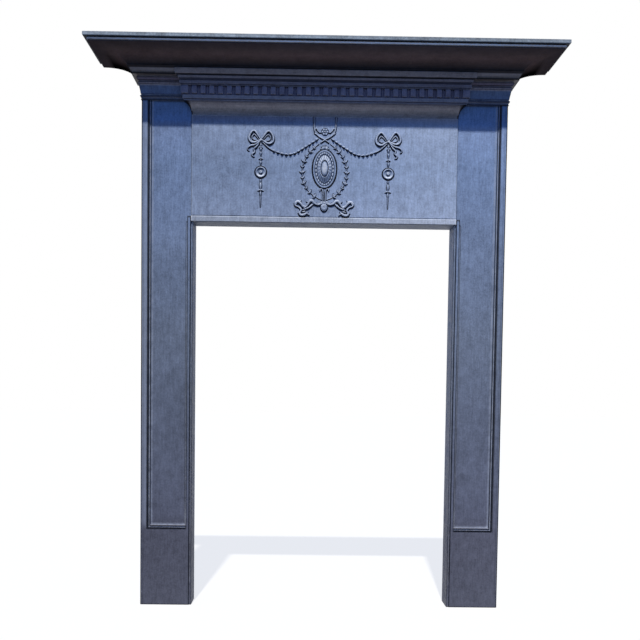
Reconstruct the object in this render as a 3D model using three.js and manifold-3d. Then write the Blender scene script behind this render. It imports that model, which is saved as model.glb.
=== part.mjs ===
// Cast iron fire surround: two jambs, a frieze, a breakfront cornice, a coved bed mould and a shelf.
// The castings are thin shells, open towards the wall, and bolt together through flanges at their backs.
// Millimetres, +Z up. -Y faces the room and +Y the wall. The origin is on the hearth, under the middle.
import * as THREE from 'three';
import { mergeVertices } from 'three/addons/utils/BufferGeometryUtils.js';
import Module from 'manifold-3d';

// ---- Driving dimensions -------------------------------------------------------------------------
const BODY_WIDTH = 860; // over both jambs
const BODY_DEPTH = 66; // wall to the raised border of a jamb
const OPENING_WIDTH = 616;
const OPENING_HEIGHT = 914;
const FRIEZE_HEIGHT = 247; // top of the opening to the foot of the cornice
const CORNICE_HEIGHT = 92; // foot of the cornice to the foot of the bed mould
const SHELF_OVERHANG = 112; // shelf beyond the body, at the front and at both ends
const SHELF_THICKNESS = 9.2; // at the nosing
const SKIN = 4.5; // walls of the frieze, cornice and bed mould, every flange, and the jambs' roofs
const JAMB_SKIN = 7.5; // walls of the jambs, thicker, to keep the weight low and far back
const GAP = 0.3; // between castings that seat on each other

// ---- Jamb ---------------------------------------------------------------------------------------
const BORDER_WIDTH = 15; // flat raised border down the outer edge
const PANEL_DEPTH = 5.5; // sinking of the panel behind the border
const PANEL_SLOPE = 6; // moulded slope round the panel
const BEAD_WIDTH = 8.3; // bead beside the opening
const REVEAL_EDGE = 5.4; // narrow edge between that bead and the opening
const REVEAL_SETBACK = 2; // of the narrow edge, behind the bead
const PLINTH_HEIGHT = 183;
const CAP_HEIGHT = 60;
const CAP_CORE = 9.5; // the cap is hollow up to this projection, and solid beyond it
const LUG_SIZE = 30; // square wall-fixing lugs inside the outer edge
const LUG_HEIGHTS = [300, 1000];
const LUG_HOLE_RADIUS = 4;

// ---- Frieze and its low relief ------------------------------------------------------------------
const FRIEZE_SETBACK = 1.8; // frieze face behind the jambs' borders
const FRIEZE_BEAD_HEIGHT = 13;
const FLANGE_DEPTH = 45; // jointing flanges, from the jambs' faces back
const BOW_X = 147; // bows, side drops and ring pateras hang on this line
const BOW_Z = 193; // heights in the relief are above the opening
const BOW_LOOP = [14, 7, 13, 7]; // offset of a loop's middle from the knot, and its half-sizes
const BOW_TAILS = [[17, -17, 0.9], [9, -24, 1.2]]; // offset from the knot, and slope
const BOW_TAIL_SIZE = [15, 3]; // half-length and half-width, as for every husk and leaf below
const SIDE_DROP = [[-27, 8, 4], [-43, 8, 3.4], [-115, 12, 3], [-140, 12, 2]]; // upright, under a bow
const CROSS_LEAF = [-122, 8, 2.4]; // level, under the ring patera
const RING_Z = 113;
const RING_RADIUS = 12;
const SWAG_INNER_X = 14;
const SWAG_INNER_Z = 203;
const SWAG_SAG_X = 80;
const SWAG_SAG_Z = 116;
const PATERA_Z = 121;
const PATERA_RADII = [32, 52];
const BOSS_RADII = [10.4, 22.6];
const WREATH_RADII = [64, 68];
const WREATH_LEAVES = 22;
const WREATH_LEAF = [8, 2.6];
const WREATH_LEAN = 0.6; // leaves turn in and out of the wreath's line by this angle
const HUSKS_PER_SWAG = 12;
const SWAG_HUSK = [6.4, 3];
const ROSETTE_Z = 219; // ring over the wreath
const ROSETTE_RADIUS = 7.5;
const RIBBON = [26, 231, 14, 1.8]; // upright ribbon each side of the rosette: place and half-sizes
const STEM = [53, 12, 4]; // upright under the wreath: height and half-sizes
const SHELL = [28, 12, 9];
const SPRAYS = [[28, 37, 17, 4, 0.1], [56, 41, 12, 4, -0.4], [48, 20, 13, 3.4, 0.5]]; // with slope
const RELIEF_HEIGHT = 4;
const RING_THICKNESS = 2.2;

// ---- Cornice ------------------------------------------------------------------------------------
const COVE_PROJECTION = 15;
const COVE_HEIGHT = 28;
const DENTIL_COUNT = 33; // along the front
const DENTIL_WIDTH = 12.6;
const DENTIL_PROJECTION = 4.5;
const DENTIL_BAND = [39, 60]; // heights above the foot of the cornice
const DENTIL_GROUND = 18; // projection of the flat band behind the dentils
const CORNICE_FILLET = 24; // projection of the fillet over the dentils
const CORNICE_CORE = 28; // the cornice is hollow up to this projection
const CORNICE_LIP = 5; // the top fillet laps this far up the bed mould
const CORNICE_TOP_PROJECTION = 35;

// ---- Bed mould and shelf ------------------------------------------------------------------------
const BED_FOOT = 20.6; // projection of the bed mould's foot
const BED_COVE = [82, 35.2]; // projection and height of its quarter-ellipse cove
const BED_FILLET = [1.4, 4]; // fillet above the cove
const BED_QUIRK = [3, 3.5]; // sunk line between the fillet and the shelf
const BED_STEPS = 9;
const BED_FLANGE = 62; // foot flange, inwards from the body's face
const BED_RIM = 8; // ledge that the shelf lies on
const SHELF_PLATE = 4.5; // thickness of the shelf inside its nosing
const NOSING_RIM = 12; // width of the full-thickness edge
const PILLAR_RADIUS = 11;
const PILLAR_BORE_DEPTH = 26;

// ---- Fasteners ----------------------------------------------------------------------------------
const BOLT_RADIUS = 4;
const BOLT_SIDES = 12;
const BOLT_HEAD = [13, 5.5]; // across the square, and thickness
const NUT = [13, 6.5];
const WASHER = [10, 2]; // outer radius and thickness
const THREAD_CLEARANCE = 0.35; // between a shank and its nut or tapped bore, on the radius
const HOLE_CLEARANCE = 0.9; // between a shank and a flange hole, on the radius
const SHANK_SPARE = 3; // length of a shank beyond its nut
const PILLAR_REACH = 22; // length of a shelf bolt inside its pillar
const JOINT_BOLT_HEIGHTS = [70, 190]; // above the opening, through the frieze's side flanges
const JOINT_BOLT_INSET = 28; // behind the jambs' faces
const CORNICE_BOLT_X = [-210, 0, 210];
const SHELF_BOLT_SPREAD = 31; // each jamb has two shelf bolts, this far from its middle
const SHELF_BOLT_INNER = 150; // the cornice has two, at this distance from the middle
const SHELF_BOLT_INSET = 33;

// ---- Places that follow from the sizes above ----------------------------------------------------
const BODY_HALF = BODY_WIDTH / 2;
const OPENING_HALF = OPENING_WIDTH / 2;
const JOINT_X = OPENING_HALF + REVEAL_EDGE; // joint line between a jamb and the frieze
const WALL_Y = (BODY_DEPTH + SHELF_OVERHANG) / 2;
const FACE_Y = WALL_Y - BODY_DEPTH;
const FRIEZE_Y = FACE_Y + FRIEZE_SETBACK;
const FLANGE_Y = FACE_Y + FLANGE_DEPTH;
const FRIEZE_TOP = OPENING_HEIGHT + FRIEZE_HEIGHT;
const BODY_TOP = FRIEZE_TOP + CORNICE_HEIGHT;
const CAP_FOOT = BODY_TOP - CAP_HEIGHT;
const CORNICE_FOOT = FRIEZE_TOP + GAP;
const BED_BASE = BODY_TOP + GAP;
const BED_TOP = BED_BASE + BED_COVE[1] + BED_FILLET[1] + BED_QUIRK[1];
const SHELF_BASE = BED_TOP + GAP;
const SHELF_UNDERSIDE = SHELF_BASE + SHELF_THICKNESS - SHELF_PLATE;
const JAMB_MIDDLE = (JOINT_X + BODY_HALF) / 2;
const BEYOND = 5; // how far a cutter runs past what it cuts

// Mouldings are lists of [projection, height above the foot].
const CAP_PROFILE = [
  [0, 0], [1.5, 1.5], [1.5, 7], [3.4, 13], [6.4, 33], [7.5, 34],
  [7.5, 39], [CAP_CORE, CAP_HEIGHT - 14], [15.5, CAP_HEIGHT - 7.5],
  [BED_FOOT, CAP_HEIGHT - 4.3], [BED_FOOT, CAP_HEIGHT],
];
const CORNICE_PROFILE = [
  ...quarterCove(0, 0, COVE_PROJECTION, COVE_HEIGHT, 6),
  [17, COVE_HEIGHT], [DENTIL_GROUND, DENTIL_BAND[0]], [DENTIL_GROUND, DENTIL_BAND[1]],
  [CORNICE_FILLET, DENTIL_BAND[1]], [CORNICE_FILLET, DENTIL_BAND[1] + 6],
  [26, CORNICE_HEIGHT - 17], [CORNICE_CORE, CORNICE_HEIGHT - 13], [31, CORNICE_HEIGHT - 7],
  [32.6, CORNICE_HEIGHT - 3], [CORNICE_TOP_PROJECTION, CORNICE_HEIGHT - 2],
  [CORNICE_TOP_PROJECTION, CORNICE_HEIGHT + CORNICE_LIP],
];
const BED_TIP = BED_FOOT + BED_COVE[0];
const BED_PROFILE = [
  ...quarterCove(BED_FOOT, 0, BED_COVE[0], BED_COVE[1], BED_STEPS),
  [BED_TIP + BED_FILLET[0], BED_COVE[1]],
  [BED_TIP + BED_FILLET[0], BED_COVE[1] + BED_FILLET[1]],
  [BED_TIP + BED_FILLET[0] - BED_QUIRK[0], BED_COVE[1] + BED_FILLET[1]],
  [BED_TIP + BED_FILLET[0] - BED_QUIRK[0], BED_TOP - BED_BASE],
];
const NOSING_PROFILE = [
  [SHELF_OVERHANG - 3, 0], [SHELF_OVERHANG - 1, 1.4], [SHELF_OVERHANG, SHELF_THICKNESS / 2],
  [SHELF_OVERHANG - 0.8, SHELF_THICKNESS - 1.6], [SHELF_OVERHANG - 2.6, SHELF_THICKNESS],
];

/** Points of a hollow quarter ellipse: it leaves the foot upright and ends lying flat. */
function quarterCove(foot, base, projection, height, steps) {
  return Array.from({ length: steps + 1 }, (_, i) => {
    const turn = (i / steps) * (Math.PI / 2);
    return [foot + projection * (1 - Math.cos(turn)), base + height * Math.sin(turn)];
  });
}

// ---- Solids -------------------------------------------------------------------------------------
const wasm = await Module();
wasm.setup();

/** A closed geometry as a solid that can be joined and cut. */
function solid(geometry) {
  const bare = geometry.clone();
  bare.deleteAttribute('normal');
  bare.deleteAttribute('uv');
  const merged = mergeVertices(bare, 1e-4);
  return new wasm.Manifold(new wasm.Mesh({
    numProp: 3,
    vertProperties: new Float32Array(merged.attributes.position.array),
    triVerts: new Uint32Array(merged.index.array),
  }));
}

/** The solid's surface as flat-shaded triangles. */
function surface(body) {
  const { numProp, vertProperties, triVerts } = body.getMesh();
  const points = new Float32Array(triVerts.length * 3);
  triVerts.forEach((vertex, i) => {
    points.set(vertProperties.subarray(vertex * numProp, vertex * numProp + 3), i * 3);
  });
  const geometry = new THREE.BufferGeometry();
  geometry.setAttribute('position', new THREE.BufferAttribute(points, 3));
  geometry.computeVertexNormals();
  return geometry;
}

/** A block between two values on each axis, given in any order. */
function block(x0, x1, y0, y1, z0, z1) {
  const box = new THREE.BoxGeometry(Math.abs(x1 - x0), Math.abs(y1 - y0), Math.abs(z1 - z0));
  box.translate((x0 + x1) / 2, (y0 + y1) / 2, (z0 + z1) / 2);
  return solid(box);
}

/** A round bar of the fasteners' section, from a point along x, y or z. */
function bar(radius, axis, from, length, sides = BOLT_SIDES) {
  const round = new THREE.CylinderGeometry(radius, radius, length, sides);
  round.translate(0, length / 2, 0);
  if (axis === 'x') round.rotateZ(-Math.PI / 2);
  if (axis === 'z') round.rotateX(Math.PI / 2);
  round.translate(...from);
  return solid(round);
}

/** A closed solid through rings of points, with a fan over each end. */
function loft(rings) {
  const count = rings[0].length;
  const points = rings.flat();
  const faces = [];
  for (let ring = 0; ring < rings.length - 1; ring++) {
    for (let i = 0; i < count; i++) {
      const a = ring * count + i;
      const b = ring * count + ((i + 1) % count);
      faces.push([a, b, b + count], [a, b + count, a + count]);
    }
  }
  const last = points.length - count;
  for (let i = 1; i < count - 1; i++) {
    faces.push([0, i + 1, i], [last, last + i, last + i + 1]);
  }
  const volume = faces.reduce((sum, face) => {
    const [a, b, c] = face.map((i) => new THREE.Vector3(...points[i]));
    return sum + a.dot(b.cross(c));
  }, 0);
  const geometry = new THREE.BufferGeometry();
  geometry.setAttribute('position', new THREE.Float32BufferAttribute(points.flat(), 3));
  geometry.setIndex(faces.flatMap(([a, b, c]) => (volume > 0 ? [a, b, c] : [a, c, b])));
  return solid(geometry);
}

/** A block whose front and side faces follow a moulding, mitred where they meet. */
function moulded(profile, base, left, right, front, grow = [1, 1]) {
  return loft(profile.map(([p, z]) => [
    [left - grow[0] * p, front - p, base + z],
    [right + grow[1] * p, front - p, base + z],
    [right + grow[1] * p, WALL_Y, base + z],
    [left - grow[0] * p, WALL_Y, base + z],
  ]));
}

/** The hollow behind a moulding: its points moved in and up by a skin, under a flat roof. */
function hollowLevels(profile, core, height) {
  const roof = height - SKIN;
  const levels = profile
    .map(([p, z]) => [Math.min(p, core) - SKIN, z + SKIN])
    .filter(([, z]) => z < roof);
  return [...levels, [levels.at(-1)[0], roof]];
}

/** The same block for one jamb, from its joint line to its outer face, on either side. */
function mouldedJamb(profile, base, side, inner, outer, front) {
  return side > 0
    ? moulded(profile, base, inner, outer, front, [0, 1])
    : moulded(profile, base, -outer, -inner, front, [1, 0]);
}

// ---- Castings -----------------------------------------------------------------------------------

/** The sinking in a jamb's face: a sloped pocket that opens to the joint line above the bead. */
function panelPocket(side) {
  const inner = JOINT_X + BEAD_WIDTH;
  const outer = BODY_HALF - BORDER_WIDTH;
  const ring = (y, inset) => [
    [side * (inner + inset / 2), y, PLINTH_HEIGHT + inset / 2],
    [side * (outer - inset), y, PLINTH_HEIGHT + inset / 2],
    [side * (outer - inset), y, CAP_FOOT],
    [side * (inner + inset / 2), y, CAP_FOOT],
  ];
  const pocket = loft([
    ring(FACE_Y - BEYOND, 0),
    ring(FACE_Y, 0),
    ring(FACE_Y + PANEL_DEPTH, PANEL_SLOPE),
  ]);
  const besideFrieze = block(
    side * (JOINT_X - BEYOND), side * (inner + BEYOND),
    FACE_Y - BEYOND, FACE_Y + PANEL_DEPTH,
    OPENING_HEIGHT + FRIEZE_BEAD_HEIGHT, CAP_FOOT,
  );
  return pocket.add(besideFrieze);
}

/** The space inside a jamb, open at the wall and at the foot. */
function jambHollow(side) {
  const front = FACE_Y + PANEL_DEPTH + JAMB_SKIN;
  const outer = BODY_HALF - JAMB_SKIN;
  const shaft = block(
    side * (OPENING_HALF + JAMB_SKIN), side * outer, front, WALL_Y + BEYOND, -BEYOND, OPENING_HEIGHT,
  );
  const upper = block(
    side * (JOINT_X + JAMB_SKIN), side * outer, front, WALL_Y + BEYOND,
    OPENING_HEIGHT - BEYOND, CAP_FOOT,
  );
  const behindFlange = block(
    side * (JOINT_X - BEYOND), side * (JOINT_X + JAMB_SKIN + BEYOND), FLANGE_Y, WALL_Y + BEYOND,
    OPENING_HEIGHT, BODY_TOP - SKIN,
  );
  const sunk = -PANEL_DEPTH - JAMB_SKIN;
  const cap = mouldedJamb(
    [[sunk, -SKIN], [sunk, SKIN], ...hollowLevels(CAP_PROFILE, CAP_CORE, CAP_HEIGHT)],
    CAP_FOOT, side, JOINT_X + JAMB_SKIN, BODY_HALF, FACE_Y,
  );
  const capBack = block(
    side * (JOINT_X + JAMB_SKIN), side * outer, FLANGE_Y, WALL_Y + BEYOND,
    CAP_FOOT - SKIN, BODY_TOP - SKIN,
  );
  return shaft.add(upper).add(behindFlange).add(cap).add(capBack);
}

/** One jamb: border, sunk panel, plinth, cap, reveal, flanges and wall lugs in a single casting. */
function jamb(side) {
  let body = block(side * JOINT_X, side * BODY_HALF, FACE_Y, WALL_Y, 0, CAP_FOOT)
    .add(mouldedJamb(CAP_PROFILE, CAP_FOOT, side, JOINT_X, BODY_HALF, FACE_Y))
    .add(block(
      side * OPENING_HALF, side * (JOINT_X + JAMB_SKIN), FACE_Y + REVEAL_SETBACK, WALL_Y,
      0, OPENING_HEIGHT - GAP,
    ))
    .subtract(jambHollow(side))
    .subtract(panelPocket(side));
  for (const height of LUG_HEIGHTS) {
    const outer = BODY_HALF - JAMB_SKIN;
    const lug = block(
      side * (outer - LUG_SIZE), side * (outer + JAMB_SKIN / 2), WALL_Y - SKIN, WALL_Y,
      height - LUG_SIZE / 2, height + LUG_SIZE / 2,
    );
    const hole = bar(
      LUG_HOLE_RADIUS, 'y', [side * (outer - LUG_SIZE / 2), WALL_Y - SKIN - BEYOND, height],
      SKIN + 2 * BEYOND,
    );
    body = body.add(lug).subtract(hole);
  }
  for (const height of JOINT_BOLT_HEIGHTS) {
    body = body.subtract(bar(
      BOLT_RADIUS + HOLE_CLEARANCE, 'x',
      [side * (JOINT_X + JAMB_SKIN / 2) - 2 * JAMB_SKIN, FACE_Y + JOINT_BOLT_INSET, OPENING_HEIGHT + height],
      4 * JAMB_SKIN,
    ));
  }
  return drillForShelf(body);
}

/** Upright holes for the shelf bolts, through whatever lies between the washers and the pillars. */
function drillForShelf(body) {
  return shelfBolts().reduce((part, [x, y]) => part.subtract(bar(
    BOLT_RADIUS + HOLE_CLEARANCE, 'z', [x, y, BODY_TOP - SKIN - BEYOND], 2 * SKIN + GAP + 2 * BEYOND,
  )), body);
}

/** The six shelf bolts: two in each jamb and two in the cornice. */
function shelfBolts() {
  const x = [
    JAMB_MIDDLE + SHELF_BOLT_SPREAD, JAMB_MIDDLE - SHELF_BOLT_SPREAD, SHELF_BOLT_INNER,
  ];
  return [...x, ...x.map((value) => -value)].map((value) => [value, FACE_Y + SHELF_BOLT_INSET]);
}

/** The frieze plate, with its bead, soffit, three jointing flanges and relief. */
function frieze() {
  const half = JOINT_X - GAP;
  let body = block(-half, half, FRIEZE_Y, FRIEZE_Y + SKIN, OPENING_HEIGHT, FRIEZE_TOP)
    .add(block(-half, half, FACE_Y, FRIEZE_Y + SKIN, OPENING_HEIGHT,
      OPENING_HEIGHT + FRIEZE_BEAD_HEIGHT))
    .add(block(-half, half, FRIEZE_Y, WALL_Y, OPENING_HEIGHT, OPENING_HEIGHT + SKIN))
    .add(block(-half, half, FRIEZE_Y, FLANGE_Y, FRIEZE_TOP - SKIN, FRIEZE_TOP));
  for (const side of [-1, 1]) {
    body = body.add(block(
      side * (half - SKIN), side * half, FRIEZE_Y, FLANGE_Y, OPENING_HEIGHT, FRIEZE_TOP,
    ));
    for (const height of JOINT_BOLT_HEIGHTS) {
      body = body.subtract(bar(
        BOLT_RADIUS + HOLE_CLEARANCE, 'x',
        [side * (half - SKIN / 2) - 2 * SKIN, FACE_Y + JOINT_BOLT_INSET, OPENING_HEIGHT + height],
        4 * SKIN,
      ));
    }
  }
  return drillForCornice(relief().reduce((plate, figure) => plate.add(figure), body));
}

/** Upright holes for the bolts between the frieze's top flange and the cornice's foot flange. */
function drillForCornice(body) {
  return CORNICE_BOLT_X.reduce((part, x) => part.subtract(bar(
    BOLT_RADIUS + HOLE_CLEARANCE, 'z',
    [x, FACE_Y + JOINT_BOLT_INSET, FRIEZE_TOP - SKIN - BEYOND], 2 * SKIN + GAP + 2 * BEYOND,
  )), body);
}

/** A husk, leaf or button: an ellipsoid half sunk in the frieze, turned by an angle in its plane. */
function husk(x, z, halfLength, halfWidth, turn = 0, height = RELIEF_HEIGHT) {
  const drop = new THREE.SphereGeometry(1, 6, 4);
  drop.rotateZ(Math.PI / 2);
  drop.scale(halfLength, height, halfWidth);
  drop.rotateY(-turn);
  drop.translate(x, FRIEZE_Y, OPENING_HEIGHT + z);
  return solid(drop);
}

/** A raised ring, stretched to an oval, half sunk in the frieze. */
function ring(x, z, radiusX, radiusZ, thickness, steps, turn = 0) {
  const hoop = new THREE.TorusGeometry(1, thickness / radiusX, 4, steps);
  hoop.rotateX(Math.PI / 2);
  hoop.scale(radiusX, radiusX, radiusZ);
  hoop.rotateY(-turn);
  hoop.translate(x, FRIEZE_Y, OPENING_HEIGHT + z);
  return solid(hoop);
}

/** Swags of husks between bows, side drops with ring pateras, and an oval patera in a wreath. */
function relief() {
  const upright = Math.PI / 2;
  const [rimX, rimZ] = PATERA_RADII.map((radius) => radius - RING_THICKNESS);
  const figures = [
    husk(0, PATERA_Z, rimZ, rimX, upright),
    ring(0, PATERA_Z, rimX, rimZ, RING_THICKNESS, 24),
    husk(0, PATERA_Z, BOSS_RADII[1], BOSS_RADII[0], upright, 2 * RELIEF_HEIGHT),
    ring(0, ROSETTE_Z, ROSETTE_RADIUS, ROSETTE_RADIUS, RING_THICKNESS, 12),
    ...[STEM, SHELL].map(([z, ...size]) => husk(0, z, ...size, upright)),
  ];
  for (let i = 0; i < WREATH_LEAVES; i++) {
    const turn = ((i + 0.5) / WREATH_LEAVES) * 2 * Math.PI;
    const lean = i % 2 ? WREATH_LEAN : -WREATH_LEAN;
    figures.push(husk(
      WREATH_RADII[0] * Math.cos(turn), PATERA_Z + WREATH_RADII[1] * Math.sin(turn),
      ...WREATH_LEAF, turn + upright + lean,
    ));
  }
  for (const side of [-1, 1]) {
    figures.push(...swag(side), ...bow(side), husk(side * RIBBON[0], ...RIBBON.slice(1), upright));
    for (const [x, z, length, width, slope] of SPRAYS) {
      figures.push(husk(side * x, z, length, width, side * slope));
    }
  }
  return figures;
}

/** The husks of one swag, heading along its curve. */
function swag(side) {
  const line = new THREE.QuadraticBezierCurve(
    new THREE.Vector2(side * BOW_X, BOW_Z),
    new THREE.Vector2(side * SWAG_SAG_X, SWAG_SAG_Z),
    new THREE.Vector2(side * SWAG_INNER_X, SWAG_INNER_Z),
  );
  return Array.from({ length: HUSKS_PER_SWAG }, (_, i) => {
    const along = (i + 0.7) / (HUSKS_PER_SWAG + 0.4);
    const place = line.getPointAt(along);
    const heading = line.getTangentAt(along);
    return husk(place.x, place.y, ...SWAG_HUSK, Math.atan2(heading.y, heading.x));
  });
}

/** One bow with its knot, loops and tails, and the drop and ring patera that hang from it. */
function bow(side) {
  const [loopX, loopZ, halfLength, halfWidth] = BOW_LOOP;
  const hang = (below, ...size) => husk(side * BOW_X, BOW_Z + below, ...size);
  const loops = [-1, 1].map((way) => ring(
    side * (BOW_X + way * loopX), BOW_Z + loopZ, halfLength, halfWidth, RING_THICKNESS, 12,
    side * way * 0.5,
  ));
  const tails = BOW_TAILS.map(([dx, dz, slope]) => husk(
    side * (BOW_X + dx), BOW_Z + dz, ...BOW_TAIL_SIZE, -side * slope,
  ));
  return [
    ...loops, ...tails, hang(0, 5, 5), hang(...CROSS_LEAF),
    ...SIDE_DROP.map(([below, ...size]) => hang(below, ...size, Math.PI / 2)),
    ring(side * BOW_X, RING_Z, RING_RADIUS, RING_RADIUS, RING_THICKNESS, 16),
    husk(side * BOW_X, RING_Z, 5, 5),
  ];
}

/** What the jambs take up, grown by the seating gap: the cornice's flared ends are cut to lap it. */
function jambEnvelope(side) {
  const levels = [
    [-PANEL_DEPTH, -CAP_FOOT], [-PANEL_DEPTH, 0],
    ...CAP_PROFILE,
    [BED_FOOT, CAP_HEIGHT + 2 * GAP],
  ].map(([p, z]) => [p + GAP, z - GAP]);
  return mouldedJamb(levels, CAP_FOOT, side, JOINT_X - GAP, BODY_HALF, FACE_Y)
    .add(block(
      side * (JOINT_X - GAP), side * (BODY_HALF + SHELF_OVERHANG), FACE_Y + PANEL_DEPTH,
      WALL_Y + BEYOND, 0, BODY_TOP + GAP,
    ));
}

/** The breakfront cornice: cove, dentils and fillets over the frieze, lapping the jambs' caps. */
function cornice() {
  const half = JOINT_X;
  const outer = moulded(CORNICE_PROFILE, CORNICE_FOOT, -half, half, FRIEZE_Y);
  const core = moulded(
    hollowLevels(CORNICE_PROFILE, CORNICE_CORE, CORNICE_HEIGHT - GAP),
    CORNICE_FOOT, -half + SKIN + GAP, half - SKIN - GAP, FRIEZE_Y, [0, 0],
  );
  const back = block(
    -half + SKIN + GAP, half - SKIN - GAP, FLANGE_Y - BEYOND, WALL_Y + BEYOND,
    CORNICE_FOOT + SKIN, BODY_TOP - SKIN,
  );
  const behind = block(
    -half - BEYOND, half + BEYOND, FLANGE_Y, WALL_Y + BEYOND, CORNICE_FOOT - BEYOND,
    BODY_TOP + BEYOND * 2,
  );
  const bed = moulded(
    BED_PROFILE.map(([p, z]) => [p + GAP, z - GAP]), BED_BASE, -BODY_HALF, BODY_HALF, FACE_Y,
  );
  let body = dentils().reduce((part, tooth) => part.add(tooth), outer)
    .subtract(core).subtract(back).subtract(behind).subtract(bed);
  for (const side of [-1, 1]) {
    body = body.subtract(jambEnvelope(side));
  }
  return drillForShelf(drillForCornice(body));
}

/** The row of dentils, with one more at each return. */
function dentils() {
  const reach = JOINT_X + DENTIL_GROUND;
  const front = FRIEZE_Y - DENTIL_GROUND;
  const pitch = (2 * reach - DENTIL_WIDTH) / (DENTIL_COUNT - 1);
  const base = CORNICE_FOOT + DENTIL_BAND[0];
  const top = CORNICE_FOOT + DENTIL_BAND[1] + 1;
  return Array.from({ length: DENTIL_COUNT }, (_, i) => {
    const start = -reach + i * pitch;
    const atEnd = [i === 0 ? DENTIL_PROJECTION : 0, i === DENTIL_COUNT - 1 ? DENTIL_PROJECTION : 0];
    return block(
      start - atEnd[0], start + DENTIL_WIDTH + atEnd[1], front - DENTIL_PROJECTION, front + 1,
      base, top,
    );
  });
}

/** The bed mould: a three-sided coved skin with a flange at its foot, open at the back and top. */
function bedMould() {
  const outer = moulded(BED_PROFILE, BED_BASE, -BODY_HALF, BODY_HALF, FACE_Y);
  const mouth = BED_TIP + BED_FILLET[0] - BED_QUIRK[0] - BED_RIM;
  const levels = [[BED_FOOT - SKIN, SKIN]];
  for (let i = 1; i < BED_STEPS; i++) {
    const turn = (i / BED_STEPS) * (Math.PI / 2);
    const along = [BED_COVE[0] * Math.sin(turn), BED_COVE[1] * Math.cos(turn)];
    const scale = SKIN / Math.hypot(...along);
    const point = [
      BED_FOOT + BED_COVE[0] * (1 - Math.cos(turn)) - along[1] * scale,
      BED_COVE[1] * Math.sin(turn) + along[0] * scale,
    ];
    if (point[1] > SKIN && point[0] < mouth) levels.push(point);
  }
  levels.push([mouth, BED_COVE[1] + SKIN], [mouth, BED_TOP - BED_BASE + BEYOND]);
  const core = moulded(levels, BED_BASE, -BODY_HALF, BODY_HALF, FACE_Y);
  const back = block(
    -BODY_HALF + BED_FLANGE, BODY_HALF - BED_FLANGE, FACE_Y + BED_FLANGE, WALL_Y + BEYOND,
    BED_BASE - BEYOND, BED_TOP + BEYOND,
  );
  const openBack = block(
    -BODY_HALF - BED_FOOT + SKIN, BODY_HALF + BED_FOOT - SKIN, WALL_Y - BEYOND, WALL_Y + BEYOND,
    BED_BASE + SKIN, BED_TOP + BEYOND,
  );
  return drillForShelf(outer.subtract(core).subtract(back).subtract(openBack));
}

/** The shelf: a thin plate with a thick rounded nosing, and tapped pillars for its six bolts. */
function shelf() {
  const outer = moulded(NOSING_PROFILE, SHELF_BASE, -BODY_HALF, BODY_HALF, FACE_Y);
  const inset = SHELF_OVERHANG - NOSING_RIM;
  const sinking = block(
    -BODY_HALF - inset, BODY_HALF + inset, FACE_Y - inset, WALL_Y + BEYOND,
    SHELF_BASE - BEYOND, SHELF_UNDERSIDE,
  );
  const foot = BED_BASE + SKIN + GAP;
  return shelfBolts().reduce((part, [x, y]) => part
    .add(bar(PILLAR_RADIUS, 'z', [x, y, foot], SHELF_UNDERSIDE - foot + 1))
    .subtract(bar(
      BOLT_RADIUS + THREAD_CLEARANCE, 'z', [x, y, foot - BEYOND], PILLAR_BORE_DEPTH + BEYOND,
    )), outer.subtract(sinking));
}

// ---- Fasteners: each is made upright, with its bearing face at the origin ------------------------

/** A square-headed bolt: head below the origin, shank above it. */
function bolt(length) {
  const [across, thick] = BOLT_HEAD;
  return block(-across / 2, across / 2, -across / 2, across / 2, -thick, 0)
    .add(bar(BOLT_RADIUS, 'z', [0, 0, -thick / 2], length + thick / 2));
}

/** A square nut standing on the origin. */
function nut() {
  const [across, thick] = NUT;
  return block(-across / 2, across / 2, -across / 2, across / 2, 0, thick)
    .subtract(bar(BOLT_RADIUS + THREAD_CLEARANCE, 'z', [0, 0, -BEYOND], thick + 2 * BEYOND));
}

/** A round washer standing on the origin. */
function washer() {
  const [radius, thick] = WASHER;
  return bar(radius, 'z', [0, 0, 0], thick, 16)
    .subtract(bar(BOLT_RADIUS + THREAD_CLEARANCE, 'z', [0, 0, -BEYOND], thick + 2 * BEYOND));
}

// ---- Finishes and assembly ----------------------------------------------------------------------
const blackedIron = new THREE.MeshStandardMaterial({
  color: 0x4f5a70, roughness: 0.45, metalness: 0.55,
});
const shelfIron = new THREE.MeshStandardMaterial({
  color: 0x464c58, roughness: 0.6, metalness: 0.45,
});
const dullSteel = new THREE.MeshStandardMaterial({
  color: 0x4a4642, roughness: 0.7, metalness: 0.7,
});

const surround = new THREE.Group();

/** Adds a named piece to the assembly. */
function place(name, body, material, position = [0, 0, 0], rotation = [0, 0, 0]) {
  const mesh = new THREE.Mesh(surface(body), material);
  mesh.name = name;
  mesh.position.set(...position);
  mesh.rotation.set(...rotation);
  surround.add(mesh);
}

place('left_jamb', jamb(-1), blackedIron);
place('right_jamb', jamb(1), blackedIron);
place('frieze_panel', frieze(), blackedIron);
place('cornice', cornice(), blackedIron);
place('bed_mould', bedMould(), shelfIron);
place('mantel_shelf', shelf(), shelfIron);

// Frieze to jambs: heads inside the frieze, nuts inside the jambs.
const jointLength = SKIN + JAMB_SKIN + 3 * GAP + NUT[1] + SHANK_SPARE;
const corniceLength = 2 * SKIN + 3 * GAP + NUT[1] + SHANK_SPARE;
for (const [sideName, side] of [['left', -1], ['right', 1]]) {
  JOINT_BOLT_HEIGHTS.forEach((height, i) => {
    const level = ['lower', 'upper'][i];
    const y = FACE_Y + JOINT_BOLT_INSET;
    const z = OPENING_HEIGHT + height;
    const turn = [0, side * (Math.PI / 2), 0];
    const headX = side * (JOINT_X - GAP - SKIN - GAP);
    const nutX = side * (JOINT_X + JAMB_SKIN + GAP);
    place(`${sideName}_${level}_frieze_bolt`, bolt(jointLength), dullSteel, [headX, y, z], turn);
    place(`${sideName}_${level}_frieze_nut`, nut(), dullSteel, [nutX, y, z], turn);
  });
}

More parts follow.
